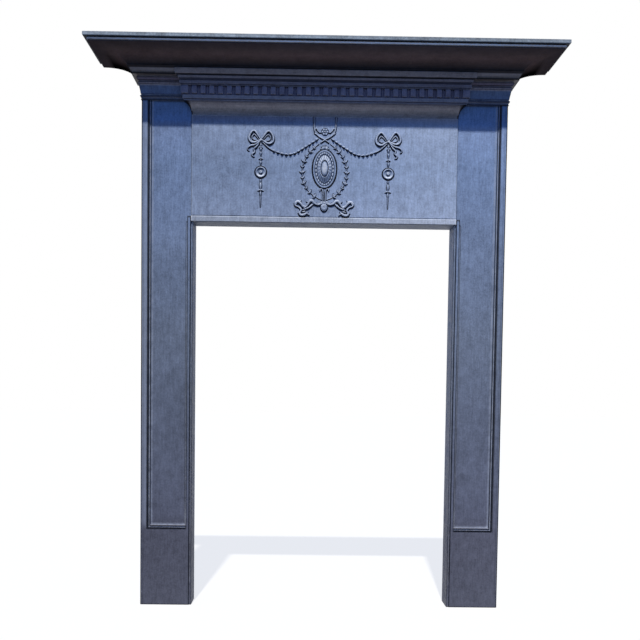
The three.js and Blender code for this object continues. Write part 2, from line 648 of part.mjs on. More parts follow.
// Frieze to cornice: heads under the frieze's flange, nuts inside the cornice.
CORNICE_BOLT_X.forEach((x, i) => {
  const spot = ['left', 'middle', 'right'][i];
  const y = FACE_Y + JOINT_BOLT_INSET;
  place(`${spot}_cornice_bolt`, bolt(corniceLength), dullSteel, [x, y, FRIEZE_TOP - SKIN - GAP]);
  place(`${spot}_cornice_nut`, nut(), dullSteel, [x, y, CORNICE_FOOT + SKIN + GAP]);
});

// Shelf: bolts rise through the jambs or the cornice and the bed mould into the shelf's pillars.
const shelfBoltNames = [
  'right_outer', 'right_inner', 'right_cornice', 'left_outer', 'left_inner', 'left_cornice',
];
shelfBolts().forEach(([x, y], i) => {
  const seat = BODY_TOP - SKIN - GAP - WASHER[1];
  const length = BED_BASE + SKIN + GAP + PILLAR_REACH - (seat - GAP);
  place(`${shelfBoltNames[i]}_shelf_washer`, washer(), dullSteel, [x, y, seat]);
  place(`${shelfBoltNames[i]}_shelf_bolt`, bolt(length), dullSteel, [x, y, seat - GAP]);
});

export default surround;
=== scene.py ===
"""Cast iron fire surround, as it looks: six castings under old stove polish, and their bolts."""

import math

import bmesh
import bpy
import numpy as np
from mathutils import Matrix, Vector


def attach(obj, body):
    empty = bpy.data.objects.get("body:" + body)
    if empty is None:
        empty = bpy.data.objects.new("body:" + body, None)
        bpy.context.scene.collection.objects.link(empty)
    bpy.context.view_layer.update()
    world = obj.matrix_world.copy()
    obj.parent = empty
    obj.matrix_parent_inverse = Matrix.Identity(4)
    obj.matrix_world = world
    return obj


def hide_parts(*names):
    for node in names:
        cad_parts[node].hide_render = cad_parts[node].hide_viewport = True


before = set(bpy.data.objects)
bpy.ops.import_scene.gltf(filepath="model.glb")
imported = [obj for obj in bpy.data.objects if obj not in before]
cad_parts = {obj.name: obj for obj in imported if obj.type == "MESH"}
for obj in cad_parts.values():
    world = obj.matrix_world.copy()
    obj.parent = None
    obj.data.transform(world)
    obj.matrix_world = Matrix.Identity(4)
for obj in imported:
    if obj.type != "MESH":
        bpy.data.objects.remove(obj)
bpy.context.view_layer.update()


# ---- The view -----------------------------------------------------------------------------------
# The photograph looks almost straight at the surround, from half a metre above the hearth and a
# little left of its middle, and leans very slightly. The frame sits high, so the lens is shifted.
eye = Vector((-0.0541, -2.0951, 0.5273))
yaw, pitch, roll = 0.0125, 0.0509, -0.0127
ahead = Vector((math.sin(yaw) * math.cos(pitch), math.cos(yaw) * math.cos(pitch), -math.sin(pitch)))
level = Vector((math.cos(yaw), -math.sin(yaw), 0.0))
down = ahead.cross(level)
across = level * math.cos(roll) + down * math.sin(roll)
below = down * math.cos(roll) - level * math.sin(roll)
view = bpy.data.objects.new("view", bpy.data.cameras.new("view"))
view.data.lens = 49.97
view.data.sensor_width = 36.0
view.data.shift_x = 0.0165
view.data.shift_y = 0.1755
view.data.clip_end = 60.0
view.matrix_world = Matrix((
    (across.x, -below.x, -ahead.x, eye.x),
    (across.y, -below.y, -ahead.y, eye.y),
    (across.z, -below.z, -ahead.z, eye.z),
    (0.0, 0.0, 0.0, 1.0),
))
bpy.context.scene.collection.objects.link(view)
bpy.context.scene.camera = view
bpy.context.scene.view_settings.view_transform = "Standard"


# ---- Light and floor ----------------------------------------------------------------------------
# One soft key from above the front, high enough for the shelf to shade the top of the frieze, in
# a cool, even room. The floor is a plain pale sheet that keeps the surround's shadow.
def add(tree, kind, inputs=None, **settings):
    """One node, with its inputs set to values or linked to other nodes' outputs."""
    node = tree.nodes.new(kind)
    for name, value in settings.items():
        setattr(node, name, value)
    for name, value in (inputs or {}).items():
        if isinstance(value, bpy.types.NodeSocket):
            tree.links.new(value, node.inputs[name])
        else:
            node.inputs[name].default_value = value
    return node


key = bpy.data.objects.new("key", bpy.data.lights.new("key", "SUN"))
key.data.energy = 4.05
key.data.color = (1.0, 0.94, 0.84)
key.data.angle = math.radians(1.3)
key.rotation_euler = (math.radians(35.5), 0.0, math.radians(-4.0))
bpy.context.scene.collection.objects.link(key)

room = bpy.data.worlds.new("room")
bpy.context.scene.world = room
room.use_nodes = True
air = room.node_tree
air.nodes.clear()
rays = add(air, "ShaderNodeLightPath")
seen = add(air, "ShaderNodeMath", {0: rays.outputs["Is Camera Ray"],
                                   1: rays.outputs["Is Glossy Ray"]}, operation="MAXIMUM")
seen = add(air, "ShaderNodeMath", {0: seen.outputs[0],
                                   1: rays.outputs["Is Transmission Ray"]}, operation="MAXIMUM")
lighting = add(air, "ShaderNodeBackground", {"Color": (0.17, 0.42, 1.0, 1.0), "Strength": 0.58})
backdrop = add(air, "ShaderNodeBackground", {"Color": (1.0, 1.0, 1.0, 1.0), "Strength": 1.0})
sky = add(air, "ShaderNodeMixShader", {0: seen.outputs[0], 1: lighting.outputs[0],
                                       2: backdrop.outputs[0]})
add(air, "ShaderNodeOutputWorld", {"Surface": sky.outputs[0]})

floor_mesh = bpy.data.meshes.new("floor")
floor_mesh.from_pydata([(-15, -15, 0), (15, -15, 0), (15, 15, 0), (-15, 15, 0)], [], [(0, 1, 2, 3)])
floor = bpy.data.objects.new("floor", floor_mesh)
bpy.context.scene.collection.objects.link(floor)
sheet = bpy.data.materials.new("floor_sheet")
sheet.use_nodes = True
paper = sheet.node_tree
paper.nodes.clear()
rays = add(paper, "ShaderNodeLightPath")
seen = add(paper, "ShaderNodeMath", {0: rays.outputs["Is Camera Ray"],
                                     1: rays.outputs["Is Glossy Ray"]}, operation="MAXIMUM")
matt = add(paper, "ShaderNodeBsdfDiffuse", {"Color": (0.86, 0.86, 0.86, 1.0)})
pale = add(paper, "ShaderNodeEmission", {"Color": (1.0, 1.0, 1.0, 1.0), "Strength": 1.0})
shown = add(paper, "ShaderNodeMixShader", {0: 0.78, 1: matt.outputs[0], 2: pale.outputs[0]})
dim = add(paper, "ShaderNodeBsdfDiffuse", {"Color": (0.13, 0.125, 0.12, 1.0)})
mixed = add(paper, "ShaderNodeMixShader", {0: seen.outputs[0], 1: dim.outputs[0],
                                           2: shown.outputs[0]})
add(paper, "ShaderNodeOutputMaterial", {"Surface": mixed.outputs[0]})
floor_mesh.materials.append(sheet)


# ---- Jambs --------------------------------------------------------------------------------------
# Each jamb is one thin grey-iron casting, poured face down in sand and open at the back: border,
# sunk panel with its frame moulding, plinth, cap and reveal. Stove polish gives it its slate blue.
WALL = 89.0
FACE = 23.0
BODY_HALF = 430.0
JOINT = 313.4
REVEAL = 308.0
PANEL = 28.5
PANEL_EDGE = 415.2
FRAME_WIDTH = 11.2
FLANGE_BACK = 68.0
LEDGE = 913.7
THICK = 7.5
THIN = 4.5
BODY_TOP = 1253.0
CAP_FOOT = 1193.0
LIP = 183.0
CAP = [(0.0, 0.0), (1.4, 0.6), (1.4, 1.4), (0.1, 2.2), (0.1, 6.0), (2.6, 6.8), (3.2, 8.6), (2.6, 10.4),
       (0.9, 11.2), (0.9, 12.4), (1.8, 13.4), (2.8, 19.0), (4.4, 26.6), (5.6, 33.6), (7.9, 34.8),
       (7.9, 39.4), (5.2, 40.0), (5.6, 43.0), (8.6, 43.6), (10.2, 47.2), (11.4, 49.6), (8.8, 50.4),
       (9.2, 53.0), (17.8, 54.2), (20.6, 60.0)]


def soften(outline, radius, steps=3, support=0.5):
    """A closed outline with rounded corners, or a stack of them: each corner becomes a quadratic
    curve between two points at the radius from it, with one more point beyond each of them."""
    outline = np.asarray(outline, float)
    before = np.roll(outline, 1, axis=-2) - outline
    after = np.roll(outline, -1, axis=-2) - outline
    back = np.linalg.norm(before, axis=-1, keepdims=True) + 1e-9
    front = np.linalg.norm(after, axis=-1, keepdims=True) + 1e-9
    room_left = np.minimum(back, front)
    cut = np.minimum(np.asarray(radius, float).reshape(-1, 1) * np.ones_like(back), 0.42 * room_left)
    keep = np.minimum(cut + support, 0.47 * room_left)
    start, end = outline + before / back * cut, outline + after / front * cut
    t = np.linspace(0.0, 1.0, steps + 1)[:, None]
    bend = ((1 - t) ** 2 * start[..., None, :] + 2 * t * (1 - t) * outline[..., None, :]
            + t ** 2 * end[..., None, :])
    first = (outline + before / back * keep)[..., None, :]
    last = (outline + after / front * keep)[..., None, :]
    rows = np.concatenate([first, bend, last], axis=-2)
    return rows.reshape(outline.shape[:-2] + (-1, 2))


def loft(stations, closed_rows=False, caps=True):
    """Points and faces of a stack of closed loops: quads between neighbouring loops, and one
    face over each end. The array is loops by points by xyz."""
    rows, count = stations.shape[:2]
    row = np.arange(rows if closed_rows else rows - 1)[:, None]
    col = np.arange(count)[None, :]
    nxt, above = (col + 1) % count, (row + 1) % rows
    quads = np.stack([row * count + col, row * count + nxt, above * count + nxt,
                      above * count + col], axis=-1).reshape(-1, 4).tolist()
    if caps and not closed_rows:
        quads += [list(range(count))[::-1], list(range((rows - 1) * count, rows * count))]
    return stations.reshape(-1, 3), quads


def bends(mesh):
    """How much each point stands out, up to 1, or lies in a hollow, down to -1: the mean angle
    across the edges that meet there, counted negative where the faces turn in. The flat faces
    that close a part's ends don't count, as they lie against another casting or the wall."""
    faces = len(mesh.polygons)
    edge_of, totals = np.empty(len(mesh.loops), np.int32), np.empty(faces, np.int32)
    mesh.loops.foreach_get("edge_index", edge_of)
    mesh.polygons.foreach_get("loop_total", totals)
    normal, centre = np.empty(faces * 3), np.empty(faces * 3)
    mesh.polygons.foreach_get("normal", normal)
    mesh.polygons.foreach_get("center", centre)
    normal, centre = normal.reshape(-1, 3), centre.reshape(-1, 3)
    ends = np.empty(len(mesh.edges) * 2, np.int32)
    mesh.edges.foreach_get("vertices", ends)
    ends = ends.reshape(-1, 2)
    face_of = np.repeat(np.arange(faces), totals)
    order = np.argsort(edge_of, kind="stable")
    pair = np.flatnonzero(edge_of[order][1:] == edge_of[order][:-1])
    edge, one, two = edge_of[order][pair], face_of[order[pair]], face_of[order[pair + 1]]
    angle = np.arccos(np.clip((normal[one] * normal[two]).sum(1), -1, 1))
    turn = -np.sign((normal[one] * (centre[two] - centre[one])).sum(1)) * angle
    turn = np.where((totals[one] > 8) | (totals[two] > 8), 0.0, turn)
    wear_and_shade = np.zeros(len(mesh.vertices))
    np.add.at(wear_and_shade, ends[edge].ravel(), np.repeat(turn, 2))
    return np.clip(wear_and_shade / 2 / 0.55, -1, 1)


def tidied(points, faces, wear_and_shade=None):
    """One closed part in metres as arrays: its points, its faces' points, the faces' sizes and the
    marks of rubbing, grime and painted light and shade. Normals face out, and doubles are merged
    unless those marks were worked out with it."""
    mesh = bpy.data.meshes.new("part")
    mesh.from_pydata((np.asarray(points) * 0.001).tolist(), [], faces)
    part = bmesh.new()
    part.from_mesh(mesh)
    if wear_and_shade is None:
        bmesh.ops.remove_doubles(part, verts=part.verts, dist=2e-6)
        bmesh.ops.dissolve_degenerate(part, dist=2e-6, edges=part.edges)
    bmesh.ops.recalc_face_normals(part, faces=part.faces)
    part.to_mesh(mesh)
    part.free()
    place = np.empty(len(mesh.vertices) * 3, np.float32)
    mesh.vertices.foreach_get("co", place)
    corner = np.empty(len(mesh.loops), np.int32)
    mesh.loops.foreach_get("vertex_index", corner)
    size = np.empty(len(mesh.polygons), np.int32)
    mesh.polygons.foreach_get("loop_total", size)
    wear_and_shade = bends(mesh) if wear_and_shade is None else wear_and_shade
    bpy.data.meshes.remove(mesh)
    return place.reshape(-1, 3), corner, size, wear_and_shade


def make(name, parts, nodes, finish, sharp=32.0):
    """A finished piece from closed parts in millimetres, shaded smooth with sharp edges over an
    angle, with the marks of its edges and hollows stored on its points: rubbing and grime, and
    painted highlight and shade. It stands for the nodes named."""
    place, corner, size, wear_and_shade = zip(*(tidied(*part) for part in parts))
    offset = np.cumsum([0] + [len(p) for p in place[:-1]])
    corner = np.concatenate([c + o for c, o in zip(corner, offset)]).astype(np.int32)
    size = np.concatenate(size)
    place = np.concatenate(place)
    mesh = bpy.data.meshes.new(name)
    mesh.vertices.add(len(place))
    mesh.vertices.foreach_set("co", place.ravel())
    mesh.loops.add(len(corner))
    mesh.loops.foreach_set("vertex_index", corner)
    mesh.polygons.add(len(size))
    first = np.concatenate([[0], np.cumsum(size)[:-1]])
    mesh.polygons.foreach_set("loop_start", first.astype(np.int32))
    mesh.update(calc_edges=True)
    mesh.validate()
    mesh.shade_smooth()
    mesh.set_sharp_from_angle(angle=math.radians(sharp))
    store = mesh.attributes.new("wear_and_shade", "FLOAT", "POINT")
    store.data.foreach_set("value", np.concatenate(wear_and_shade).astype(np.float32))
    mesh.materials.append(finish)
    piece = bpy.data.objects.new(name, mesh)
    bpy.context.scene.collection.objects.link(piece)
    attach(piece, "root")
    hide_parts(*nodes)
    return piece


def ramp(tree, value, low, high, to_low=0.0, to_high=1.0):
    """A value carried from one range to another, and held at its ends."""
    return add(tree, "ShaderNodeMapRange", {"Value": value, "From Min": low, "From Max": high,
                                            "To Min": to_low, "To Max": to_high}).outputs[0]


def calc(tree, operation, one, two=0.0):
    """One sum between two values."""
    return add(tree, "ShaderNodeMath", {0: one, 1: two}, operation=operation).outputs[0]


def blend(tree, share, one, two):
    """Colour one, going over to colour two as the share rises."""
    node = tree.nodes.new("ShaderNodeMix")
    node.data_type = "RGBA"
    for socket, value in (("Factor_Float", share), ("A_Color", one), ("B_Color", two)):
        target = next(s for s in node.inputs if s.identifier == socket)
        if isinstance(value, bpy.types.NodeSocket):
            tree.links.new(value, target)
        else:
            target.default_value = value
    return next(s for s in node.outputs if s.identifier == "Result_Color")


def noise(tree, place, scale, detail=3.0, roughness=0.55, stretch=(1.0, 1.0, 1.0), offset=0.0):
    """Seeded noise on the piece's own coordinates, drawn out along an axis by a small stretch."""
    turned = add(tree, "ShaderNodeMapping", {"Vector": place, "Scale": stretch,
                                             "Location": (offset, offset * 0.7, offset * 0.3)})
    return add(tree, "ShaderNodeTexNoise", {"Vector": turned.outputs[0], "Scale": scale,
                                            "Detail": detail, "Roughness": roughness}).outputs[0]


def iron(name, tones, edge, soot_and_shade, along=(1.0, 1.0, 0.12), offset=0.0, metal=0.05, rough=(0.38, 0.58),
         patches=0.15, mottling=0.17, streaks=0.14, grit=0.17, sides=(1.0, 1.0, 1.0, 1.0), grain=0.5,
         painted_sheen=(0.0, 1.0, 0.0), gloss=0.08):
    """Cast iron under old stove polish. Its tone goes by height, and is made lighter and darker
    by broad patches, mottling, streaks along the casting and a fine grit; its height bands also
    hold painted shade, highlight and reflection. Edges are made pale, partly by rubbing and partly
    as painted highlight, hollows are made dark, partly sooty and partly as painted shade, and the
    surface has a sand grain. Sides are how strong its tone is at the left and the right, below
    1.13 m and then from 1.16 m up, where the shelf's shade lies: painted light and shade across
    the piece. The painted sheen is where along x a painted highlight begins between 0.19 m and
    1.19 m up, where it is full, and how much. Gloss is the polish's shine."""
    cells = {"patch": 4.2, "mottle": 55.0, "streak": 300.0, "fine": 260.0, "sand": 1400.0}
    panel_foot, panel_foot_end, panel_top_start, panel_top = 0.182, 0.20, 1.189, 1.191
    shade_start, shade_full = 1.13, 1.16
    finish = bpy.data.materials.new(name)
    finish.use_nodes = True
    tree = finish.node_tree
    tree.nodes.clear()
    place = add(tree, "ShaderNodeTexCoord").outputs["Object"]
    parted = add(tree, "ShaderNodeSeparateXYZ", {0: place})
    x, z = parted.outputs["X"], parted.outputs["Z"]
    patch = noise(tree, place, cells["patch"], 5.0, 0.6, offset=offset + 1.3)
    mottle = noise(tree, place, cells["mottle"], 5.0, 0.68, offset=offset + 2.1)
    streak = noise(tree, place, cells["streak"], 3.0, 0.6, along, offset + 3.7)
    fine = noise(tree, place, cells["fine"], 3.0, 0.7, offset=offset + 5.9)
    sand = noise(tree, place, cells["sand"], 2.0, 0.6, offset=offset)
    low, high = tones[0][0], tones[-1][0]
    bands = tree.nodes.new("ShaderNodeValToRGB")
    tree.links.new(ramp(tree, z, low, high), bands.inputs[0])
    stops = bands.color_ramp.elements
    while len(stops) < len(tones):
        stops.new(0.5)
    for stop, (height, colour) in zip(stops, tones):
        stop.position = (height - low) / (high - low)
        stop.color = (*colour, 1.0)
    tone = calc(tree, "ADD", ramp(tree, patch, 0.3, 0.7, 1 - patches, 1 + patches),
                ramp(tree, mottle, 0.3, 0.7, -mottling, mottling))
    tone = calc(tree, "ADD", tone, ramp(tree, streak, 0.3, 0.7, -streaks, streaks))
    tone = calc(tree, "ADD", tone, ramp(tree, fine, 0.3, 0.7, -grit, grit))
    # Painted light and shade across the piece: the tone is scaled from left to right, with one pair of
    # strengths below the shelf's shade and one within it.
    left = ramp(tree, z, shade_start, shade_full, sides[0], sides[2])
    right = ramp(tree, z, shade_start, shade_full, sides[1], sides[3])
    tone = calc(tree, "MULTIPLY", tone, ramp(tree, x, -0.43, 0.43, left, right))
    tone = calc(tree, "MAXIMUM", tone, 0.25)
    colour = add(tree, "ShaderNodeVectorMath", {"Vector": bands.outputs[0], "Scale": tone},
                 operation="SCALE").outputs[0]
    # The colour goes over to the pale edge colour where the stored value is high, partly rubbing and
    # partly painted highlight, and to the dark one where it is low, partly sooty and partly painted
    # shade.
    wear_and_shade = add(tree, "ShaderNodeAttribute", attribute_name="wear_and_shade").outputs["Fac"]
    rub_and_highlight = calc(tree, "MULTIPLY", ramp(tree, wear_and_shade, 0.12, 0.85),
                  ramp(tree, mottle, 0.36, 0.6, 0.35, 1.0))
    # A painted highlight, the painted sheen, made pale along x between the panels' foot and top.
    beside_panel = calc(tree, "MULTIPLY", ramp(tree, z, panel_foot, panel_foot_end),
                        ramp(tree, z, panel_top, panel_top_start))
    sheen_strip = calc(tree, "MULTIPLY", ramp(tree, x, painted_sheen[0], painted_sheen[1], 0.0, painted_sheen[2]), beside_panel)
    rub_and_highlight = calc(tree, "MAXIMUM", rub_and_highlight, sheen_strip)
    hollow = ramp(tree, wear_and_shade, -0.1, -0.75)
    colour = blend(tree, rub_and_highlight, colour, edge)
    colour = blend(tree, hollow, colour, soot_and_shade)
    sheen = calc(tree, "ADD", ramp(tree, mottle, 0.3, 0.7, rough[0], rough[1]),
                 ramp(tree, sand, 0.3, 0.7, -0.05, 0.05))
    sheen = calc(tree, "SUBTRACT", sheen, calc(tree, "MULTIPLY", rub_and_highlight, 0.08))
    grained = add(tree, "ShaderNodeBump", {"Strength": grain, "Distance": 0.0004, "Height": sand})
    lumps = add(tree, "ShaderNodeBump", {"Strength": 0.35, "Distance": 0.0012, "Height": mottle,
                                         "Normal": grained.outputs[0]})
    skin = add(tree, "ShaderNodeBsdfPrincipled", {
        "Base Color": colour, "Metallic": metal, "Roughness": sheen, "Specular IOR Level": gloss,
        "Normal": lumps.outputs[0]})
    add(tree, "ShaderNodeOutputMaterial", {"Surface": skin.outputs[0]})
    return finish


def framed(distance):
    """Depth below the border of the panel's frame moulding, by the distance in from its outer
    edge: a hair groove, a small bead, a quirk, a fillet and the slope down to the panel."""
    places = np.array([0, 0.2, 0.5, 0.8, 1.1, 1.6, 2.6, 3.6, 4.1, 4.4, 5.0, 6.0, 6.4, 6.8, 7.3,
                       8.0, 9.4, 10.6, 11.2])
    depths = np.array([0, 1.6, 2.4, 1.6, 0.9, 0.45, 0.3, 0.5, 1.4, 4.2, 5.0, 5.0, 4.4, 3.4, 2.7,
                       2.9, 4.4, 5.3, 5.5])
    return np.interp(distance, places, depths)


def jamb(side):
    """A jamb as level sections stacked up its height. Each section is one closed loop: reveal,
    front, outer side and the open inside. The front's depth is a function of place and height:
    the frame moulding of whichever is less, the distance from the side or from the lip."""
    corners = np.array([
        (REVEAL, WALL), (REVEAL, 25.0), (309.8, 25.0), (310.3, 28.6), (312.8, 28.6), (JOINT, FACE),
        (321.7, FACE), (322.2, 30.0), (324.5, 30.0), (325.0, PANEL)])
    sizes = np.array([0.6, 0.9, 0.5, 0.4, 0.4, 1.7, 1.7, 0.5, 0.5, 0.5])
    closing = np.array([
        (BODY_HALF, FACE), (BODY_HALF, WALL), (BODY_HALF - THICK, WALL),
        (BODY_HALF - THICK, PANEL + THICK), (REVEAL + THICK, PANEL + THICK), (REVEAL + THICK, WALL)])
    loop = soften(np.vstack([corners, [(360.0, PANEL)], closing]),
                  np.concatenate([sizes, [0], [3.0, 0.8, 0.8, 4.0, 4.0, 0.8]]))
    per_corner = 6
    inner_cols = loop[:per_corner * len(corners)]
    reveal = np.arange(per_corner * 5 + 1)
    steps = np.array([11.2, 10.6, 9.4, 8.0, 7.3, 6.8, 6.4, 6.0, 5.0, 4.4, 4.1, 3.6, 2.6, 1.6, 1.1,
                      0.8, 0.5, 0.2, 0.0])
    outer_x = PANEL_EDGE - steps
    front = np.concatenate([inner_cols, np.stack([np.linspace(330, 400, 8), np.full(8, PANEL)], 1),
                            np.stack([outer_x, FACE + framed(steps)], 1),
                            [(416.2, FACE), (420.0, FACE), (425.0, FACE)],
                            loop[per_corner * (len(corners) + 1):]])
    count = len(front)
    first_outer = len(inner_cols) + 8
    last_outer = first_outer + len(steps)
    arris = last_outer + 3
    inside = arris + 2 * per_corner
    lip_rows = LIP + steps[::-1]
    cap_points = soften(np.vstack([CAP, [(-30, 60), (-30, 0)]]), 0.5, 2, 0.3)[:5 * len(CAP) - 6]
    cap_rows = np.maximum.accumulate(np.clip(cap_points[:, 1], 0.0, 55.5))
    cap_out = cap_points[:, 0]
    rows = np.concatenate([
        [0.0, 1.2, 2.5, 12.0, 40.0, 50.0, 56.0, 60.0, 64.0, 72.0, 120.0, 181.0, 182.4], lip_rows,
        np.linspace(200.0, 900.0, 15), [912.0, LEDGE, LEDGE, LEDGE, 914.6, 920.0, 924.6, 925.6,
                                        926.3, 926.8, 927.1, 928.0],
        np.linspace(950.0, 1170.0, 6), [1188.5, 1192.6, CAP_FOOT], CAP_FOOT + cap_rows,
        [CAP_FOOT + 55.5, BODY_TOP - 0.9, BODY_TOP]])
    cap_at = len(rows) - 3 - len(cap_rows)
    x = np.tile(front[:, 0], (len(rows), 1))
    y = np.tile(front[:, 1], (len(rows), 1))
    z = np.tile(rows[:, None], (1, count))
    column = np.arange(count)[None, :]
    row = np.arange(len(rows))[:, None]
    up = z - LIP
    in_panel = (column >= 6 * per_corner + 2) & (column < last_outer)
    in_frame = (column >= first_outer) & (column < last_outer)
    beyond_frame, deeper_than_frame = 20.0, 9.0
    from_side = np.where(in_frame, PANEL_EDGE - x, beyond_frame)
    depth = framed(np.minimum(from_side, np.maximum(up, 0.0)))
    groove = np.minimum(y - FACE, np.where(up > FRAME_WIDTH, deeper_than_frame, depth))
    y = np.where(in_panel & (column < len(inner_cols)), FACE + np.maximum(groove, 0.0), y)
    y = np.where(in_panel & (column >= len(inner_cols)), FACE + depth, y)
    channel = (column >= 2 * per_corner) & (column < 5 * per_corner)
    channel_foot, channel_run, shallow = 50.0, 18.0, 0.12
    dying = np.clip((z - channel_foot) / channel_run, 0.0, 1.0)
    y = np.where(channel & (y > 25.0), 25.0 + (y - 25.0) * (shallow + 0.88 * dying), y)
    joint_row = int(np.flatnonzero(rows == LEDGE)[2])
    beside = row >= joint_row
    bead_gone = np.interp(z, [924.6, 925.6, 926.3, 926.8, 927.1], [0.0, 0.35, 1.0, 2.2, 5.5])
    bead = (column > reveal[-1]) & (column < len(inner_cols))
    y = np.where(bead & beside, np.maximum(FACE + bead_gone, np.minimum(y, PANEL)), y)
    fall = 1 - column / reveal[-1]
    x = np.where(bead & beside, np.maximum(x, JOINT), x)
    x = np.where((column <= reveal[-1]) & beside, JOINT, x)
    meet = y[:, reveal[-1] + 3][:, None]
    y = np.where((column <= reveal[-1]) & beside, meet + 0.6 + (FLANGE_BACK - meet - 0.6) * fall, y)
    leg = (column <= reveal[-1]) | (column >= inside + 3 * per_corner)
    y = np.where((row == joint_row - 1) & leg, np.minimum(y, FLANGE_BACK), y)
    back_leg = column >= inside + 2 * per_corner
    leg_step = 5.4
    x = np.where(beside & back_leg, x + leg_step, x)
    y = np.where(beside & (column >= inside + 3 * per_corner), np.minimum(y, FLANGE_BACK), y)
    out = np.zeros(len(rows))
    out[cap_at:cap_at + len(cap_rows)] = cap_out
    out[cap_at + len(cap_rows):] = CAP[-1][0]
    out = out[:, None]
    in_cap = row >= cap_at
    outward = column < inside
    y = np.where(in_cap & (column > reveal[-1]) & (column < arris), FACE - out, y)
    on_arris = (column >= arris) & (column < arris + per_corner)
    sharpened = np.where(in_cap & on_arris, 0.35, 1.0)
    y = np.where(on_arris,
                 FACE + (y - FACE) * sharpened - np.where(in_cap, out, 0), y)
    x = np.where(on_arris, BODY_HALF - (BODY_HALF - x) * sharpened, x)
    share = np.clip((x - JOINT) / (BODY_HALF - JOINT), 0.0, 1.0)
    x = np.where(in_cap & outward, x + out * share, x)
    meet = FACE - out
    y = np.where(in_cap & (column <= reveal[-1]), meet + (FLANGE_BACK - meet) * fall, y)
    hollow = np.minimum(np.interp(z - THIN, CAP_FOOT + np.array([c[1] for c in CAP]),
                                  [c[0] for c in CAP]), 9.5) - THIN
    raised, cap_depth = z >= CAP_FOOT + 2.0, 13.0
    y = np.where(raised & (column >= inside) & (y < 50), y - cap_depth - hollow, y)
    x = np.where(raised & (column >= inside) & (x > 400), x + THICK + hollow, x)
    roof = row >= len(rows) - 3
    along_back = column >= inside
    y = np.where(roof & along_back, WALL, y)
    y = np.where(roof & (column <= reveal[-1]), (FACE - out) + (WALL - FACE + out) * fall, y)
    x = np.where(roof & (column == inside), BODY_HALF + out, x)
    ramped = np.clip((column - inside) / (count - 1 - inside), 0, 1)
    x = np.where(roof & along_back, (BODY_HALF + out) * (1 - ramped) + JOINT * ramped, x)
    z[cap_at + len(cap_rows):, :] = np.maximum(z[cap_at + len(cap_rows):, :], BODY_TOP - THIN)
    band_foot = CAP_FOOT + 53.6
    z = np.where(outward & (row <= cap_at + len(cap_rows)), np.minimum(z, band_foot), z)
    chamfer = np.where(row == 0, 0.8, 0.0)
    y = np.where((column > 1) & (column < arris + 3) & (y < 40), y + chamfer, y)
    x = np.where((column >= arris) & (column < arris + per_corner + 3), x - chamfer, x)
    crown = np.where(row == len(rows) - 1, 0.1, 0.0)
    y = np.where((column > reveal[-1]) & (column < arris + per_corner), y + crown, y)
    return loft(np.stack([side * x, y, z], axis=-1))


def lug(side, height):
    """A square ear with a screw hole: rings that go from the hole's edge, over the face, round
    the rim and back, on rays from the hole's middle. The rim's distance is that of a square."""
    turn = np.linspace(0, 2 * np.pi, 48, endpoint=False)
    square = (np.abs(np.cos(turn)) ** 12 + np.abs(np.sin(turn)) ** 12) ** (-1 / 12)
    share = np.array([0.0, 0.0, 0.06, 0.94, 1.0, 1.0, 0.94, 0.06, 0.0, 0.0])[:, None]
    level_y = np.array([86.8, 85.2, 84.5, 84.5, 85.1, 88.4, 89.0, 89.0, 88.4, 86.8])[:, None]
    reach = 4.0 + (15.0 * square - 4.0) * share
    shift = np.where(share > 0.5, 2.0, 0.0)
    x = side * (407.5 + shift + reach * np.cos(turn) * np.where(share > 0.5, 17.0 / 15.0, 1.0))
    z = height + reach * np.sin(turn)
    return loft(np.stack([x, level_y + 0 * x, z], axis=-1), closed_rows=True)


# The tone is darker towards the bottom. From 1.15 m up it is painted bluer, as the shade under the
# shelf, and across the cap dark lines are painted shadow under its mouldings and pale lines painted
# highlight on its bead and fillets. Sides paint the right jamb paler in the light and darker in the
# shade, and the painted sheen makes the left jamb's outer border paler.
jamb_finish = iron(
    "jamb_iron", [
        (0.0, (0.085, 0.09, 0.12)), (0.18, (0.088, 0.093, 0.128)), (0.22, (0.095, 0.105, 0.15)),
        (0.45, (0.11, 0.13, 0.185)), (0.65, (0.132, 0.162, 0.228)), (0.85, (0.145, 0.19, 0.29)),
        (1.05, (0.16, 0.225, 0.37)), (1.135, (0.165, 0.228, 0.38)), (1.15, (0.125, 0.22, 0.45)),
        (1.19, (0.125, 0.225, 0.44)), (1.1945, (0.018, 0.022, 0.045)), (1.1987, (0.018, 0.022, 0.045)),
        (1.1998, (0.33, 0.39, 0.58)), (1.203, (0.3, 0.36, 0.54)), (1.204, (0.06, 0.085, 0.15)),
        (1.2052, (0.06, 0.085, 0.15)), (1.2062, (0.12, 0.185, 0.35)), (1.2265, (0.13, 0.185, 0.3)),
        (1.2279, (0.4, 0.36, 0.4)), (1.2322, (0.4, 0.36, 0.4)), (1.2329, (0.04, 0.042, 0.07)),
        (1.2358, (0.04, 0.042, 0.07)), (1.2366, (0.19, 0.165, 0.225)), (1.2425, (0.22, 0.19, 0.24)),
        (1.2436, (0.03, 0.03, 0.04)), (1.2464, (0.03, 0.03, 0.04)), (1.247, (0.31, 0.28, 0.27)),
        (1.253, (0.31, 0.28, 0.27))],
    (0.30, 0.335, 0.42, 1), (0.006, 0.008, 0.014, 1), sides=(0.90, 1.10, 0.92, 0.84),
    painted_sheen=(-0.4148, -0.4165, 0.34))
for side, word in ((-1, "left"), (1, "right")):
    make(f"{word}_jamb_casting", [jamb(side), lug(side, 300.0), lug(side, 1000.0)],
         [f"{word}_jamb"], jamb_finish)


# ---- Frieze -------------------------------------------------------------------------------------
# One thin plate cast with a bead and soffit along its foot and flanges at its back, by which it
# bolts between the jambs. Its low relief is cast with it: swags, bows, drops and an oval patera.
PLATE = 24.8
FRIEZE_HALF = 313.1
FRIEZE_TOP = 1161.0
DOWN = -np.pi / 2


